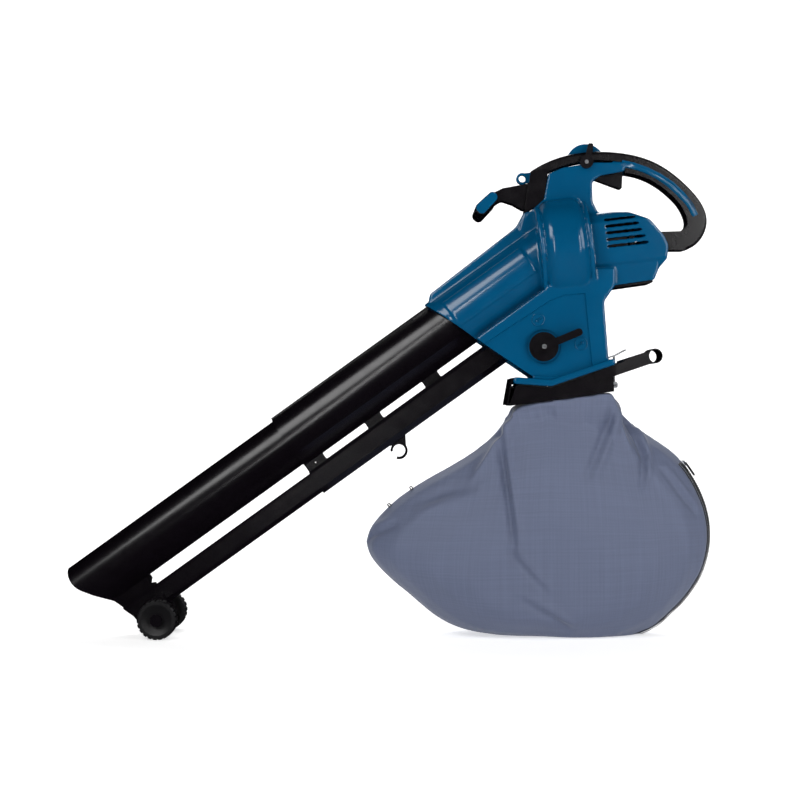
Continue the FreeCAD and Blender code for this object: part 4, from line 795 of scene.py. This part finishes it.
# %% Slider and puller
slider = bmesh.new()
bmesh.ops.create_cube(slider, size=1.0)
bmesh.ops.scale(slider, vec=(9.0 * MM, 8.0 * MM, 3.6 * MM), verts=slider.verts)
bmesh.ops.create_cube(slider, size=1.0, matrix=Matrix.Translation((1.0 * MM, 0.0, 3.0 * MM)) @ Matrix.Diagonal(
    (6.0 * MM, 2.6 * MM, 2.6 * MM, 1.0)))
bmesh.ops.bevel(slider, geom=slider.edges[:], offset=0.7 * MM, offset_type="OFFSET", affect="EDGES", segments=2,
                profile=0.5, material=-1)
bmesh.ops.transform(slider, matrix=rim_frame(zip_start - 1.5, zip_y, 3.4), verts=slider.verts)
slider_body = show("zip_slider_body", slider, bright_zinc, "bag_unit")
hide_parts("zip_slider")

puller = bmesh.new()
bmesh.ops.create_circle(puller, segments=20, radius=3.4 * MM, cap_ends=True)
for v in puller.verts:
    v.co.x += 10.0 * MM if v.co.x > 0 else -8.0 * MM
ring = bmesh.ops.inset_region(puller, faces=puller.faces[:], thickness=1.3 * MM, depth=0.0, use_even_offset=True)
inner = [f for f in puller.faces if f not in set(ring["faces"])]
bmesh.ops.inset_region(puller, faces=inner, thickness=0.6 * MM, depth=-0.35 * MM, use_even_offset=True)
bmesh.ops.solidify(puller, geom=puller.faces[:], thickness=1.1 * MM)
bmesh.ops.recalc_face_normals(puller, faces=puller.faces)
bmesh.ops.transform(puller, matrix=rim_frame(zip_start - 5.0, zip_y, 7.4), verts=puller.verts)
zip_puller = show("zip_puller", puller, bright_zinc, "bag_unit", smooth=False)

# %% Stitches beside the seam
stitch = bmesh.new()
bmesh.ops.create_uvsphere(stitch, u_segments=6, v_segments=4, radius=0.5 * MM)
bmesh.ops.scale(stitch, vec=(2.6, 0.9, 0.7), verts=stitch.verts)
places = []
for low, high in ((zip_start + 2, 56.0), (118.0, 360.0 + zip_end - 2)):
    for angle in along_rim(low, high, 4.0):
        places += [rim_frame(angle, y, 0.2) for y in (-5.0, 5.0)]
for angle in along_rim(zip_start, zip_end, 4.0):
    places += [rim_frame(angle, zip_y + y, 1.1) for y in (-6.4, 6.4)]
bag_stitches = repeated("bag_stitches", thread, stitch, places, "bag_unit")

# %% Webbing tabs
def tab(name, angle_deg):
    """A folded strip of webbing that stands out of the seam."""
    form = bmesh.new()
    loop = [(0.0, 0.0), (9.0, 0.0), (11.0, 0.8), (11.6, 2.4), (11.0, 4.0), (9.0, 4.8), (0.0, 4.8), (0.0, 3.4),
            (8.6, 3.4), (9.6, 2.9), (10.0, 2.4), (9.6, 1.9), (8.6, 1.4), (0.0, 1.4)]
    section = [form.verts.new(((a - 2.4) * MM, -6.0 * MM, (0.55 * reach - 1.5) * MM)) for reach, a in loop]
    face = form.faces.new(section)
    moved = bmesh.ops.extrude_face_region(form, geom=[face])
    far = [v for v in moved["geom"] if isinstance(v, bmesh.types.BMVert)]
    bmesh.ops.translate(form, vec=(0.0, 12.0 * MM, 0.0), verts=far)
    bmesh.ops.recalc_face_normals(form, faces=form.faces)
    bmesh.ops.transform(form, matrix=rim_frame(angle_deg, 0.0, 0.0), verts=form.verts)
    piece = show(name, form, dark_webbing, "bag_unit", smooth=False)
    return piece


# Each tab's place across and up from the bag's middle, in metres.
upper_tab, lower_tab = (-0.2465, 0.0534), (-0.2797, 0.0261)
tabs = [tab(name, math.degrees(math.atan2(up, across)))
        for name, (across, up) in (("bag_tab_upper", upper_tab), ("bag_tab_lower", lower_tab))]
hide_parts("bag_loops")
print("zip teeth", len(teeth), "stitches", len(places))

# %% [markdown]
# ## Floor, light and camera
# A pale floor that curves up into a backdrop, one broad soft light from the upper left, a weaker one
# from the right, and strip lights that draw the tall narrow highlights on the round drum.

# %% Floor and backdrop
def sweep():
    """A floor that rises behind the machine in a quarter circle."""
    mesh = bpy.data.meshes.new("pale_sweep")
    form = bmesh.new()
    radius, back = 0.8, 1.6
    line = [(-4.0, 0.0), (back, 0.0)]
    line += [(back + radius * math.sin(a), radius - radius * math.cos(a))
             for a in (math.radians(10 * step) for step in range(1, 10))]
    line += [(back + radius, 4.0)]
    row = [form.verts.new((-5.0, y, z)) for y, z in line]
    edges = [form.edges.new(pair) for pair in zip(row, row[1:])]
    moved = bmesh.ops.extrude_edge_only(form, edges=edges)
    corners = [v for v in moved["geom"] if isinstance(v, bmesh.types.BMVert)]
    bmesh.ops.translate(form, vec=(10.0, 0.0, 0.0), verts=corners)
    bmesh.ops.recalc_face_normals(form, faces=form.faces)
    form.to_mesh(mesh)
    form.free()
    for face in mesh.polygons:
        face.use_smooth = True
    piece = bpy.data.objects.new("pale_sweep", mesh)
    bpy.context.scene.collection.objects.link(piece)
    return piece


paper = moulded("matt_studio_paper", "#eeeeee", "#f4f4f4", 3.0, 0.05, 0.8, 0.9, IOR=1.45)
backdrop = sweep()
paper.node_tree.nodes["Principled BSDF"].inputs["Emission Color"].default_value = linear("#ffffff")
paper.node_tree.nodes["Principled BSDF"].inputs["Emission Strength"].default_value = 0.55
backdrop.data.materials.append(paper)
backdrop.visible_glossy = False

# %% Lights
def soft_light(name, place, aim, size, power):
    """A rectangular lamp at place that faces aim. size is its width and height."""
    lamp = bpy.data.lights.new(name, "AREA")
    lamp.shape = "RECTANGLE"
    lamp.size, lamp.size_y = size
    lamp.energy = power
    holder = bpy.data.objects.new(name, lamp)
    holder.location = place
    holder.rotation_euler = (Vector(aim) - Vector(place)).to_track_quat("-Z", "Y").to_euler()
    bpy.context.scene.collection.objects.link(holder)


soft_light("key", (-1.6, -2.2, 2.4), (0.0, 0.0, 0.35), (1.6, 1.6), 44)
soft_light("fill", (2.2, -1.6, 1.4), (0.0, 0.0, 0.35), (1.2, 1.6), 22)
soft_light("strip_left", (-0.35, -2.0, 0.9), (0.25, 0.0, 0.55), (0.12, 1.2), 6)
soft_light("strip_right", (1.0, -1.8, 0.9), (0.25, 0.0, 0.55), (0.12, 1.2), 6)
soft_light("rim", (0.2, 1.6, 2.2), (0.0, 0.0, 0.4), (2.0, 0.8), 30)

world = bpy.data.worlds.new("studio")
bpy.context.scene.world = world
world.use_nodes = True
world.node_tree.nodes["Background"].inputs["Color"].default_value = linear("#f2f4f8")
world.node_tree.nodes["Background"].inputs["Strength"].default_value = 0.95
# The surround is only there to be seen: it neither lights the machine nor mirrors in it.
world.cycles_visibility.diffuse = False
world.cycles_visibility.glossy = False

# %% Camera
camera = bpy.data.cameras.new("camera")
viewer = bpy.data.objects.new("camera", camera)
bpy.context.scene.collection.objects.link(viewer)
distance = 2.45
camera.sensor_width = 36.0
camera.lens = camera.sensor_width * distance / 1.216
viewer.location = (0.00912, -distance, 0.3557)
viewer.rotation_euler = (math.radians(90), 0.0, 0.0)
bpy.context.scene.camera = viewer
bpy.context.scene.view_settings.view_transform = "Standard"
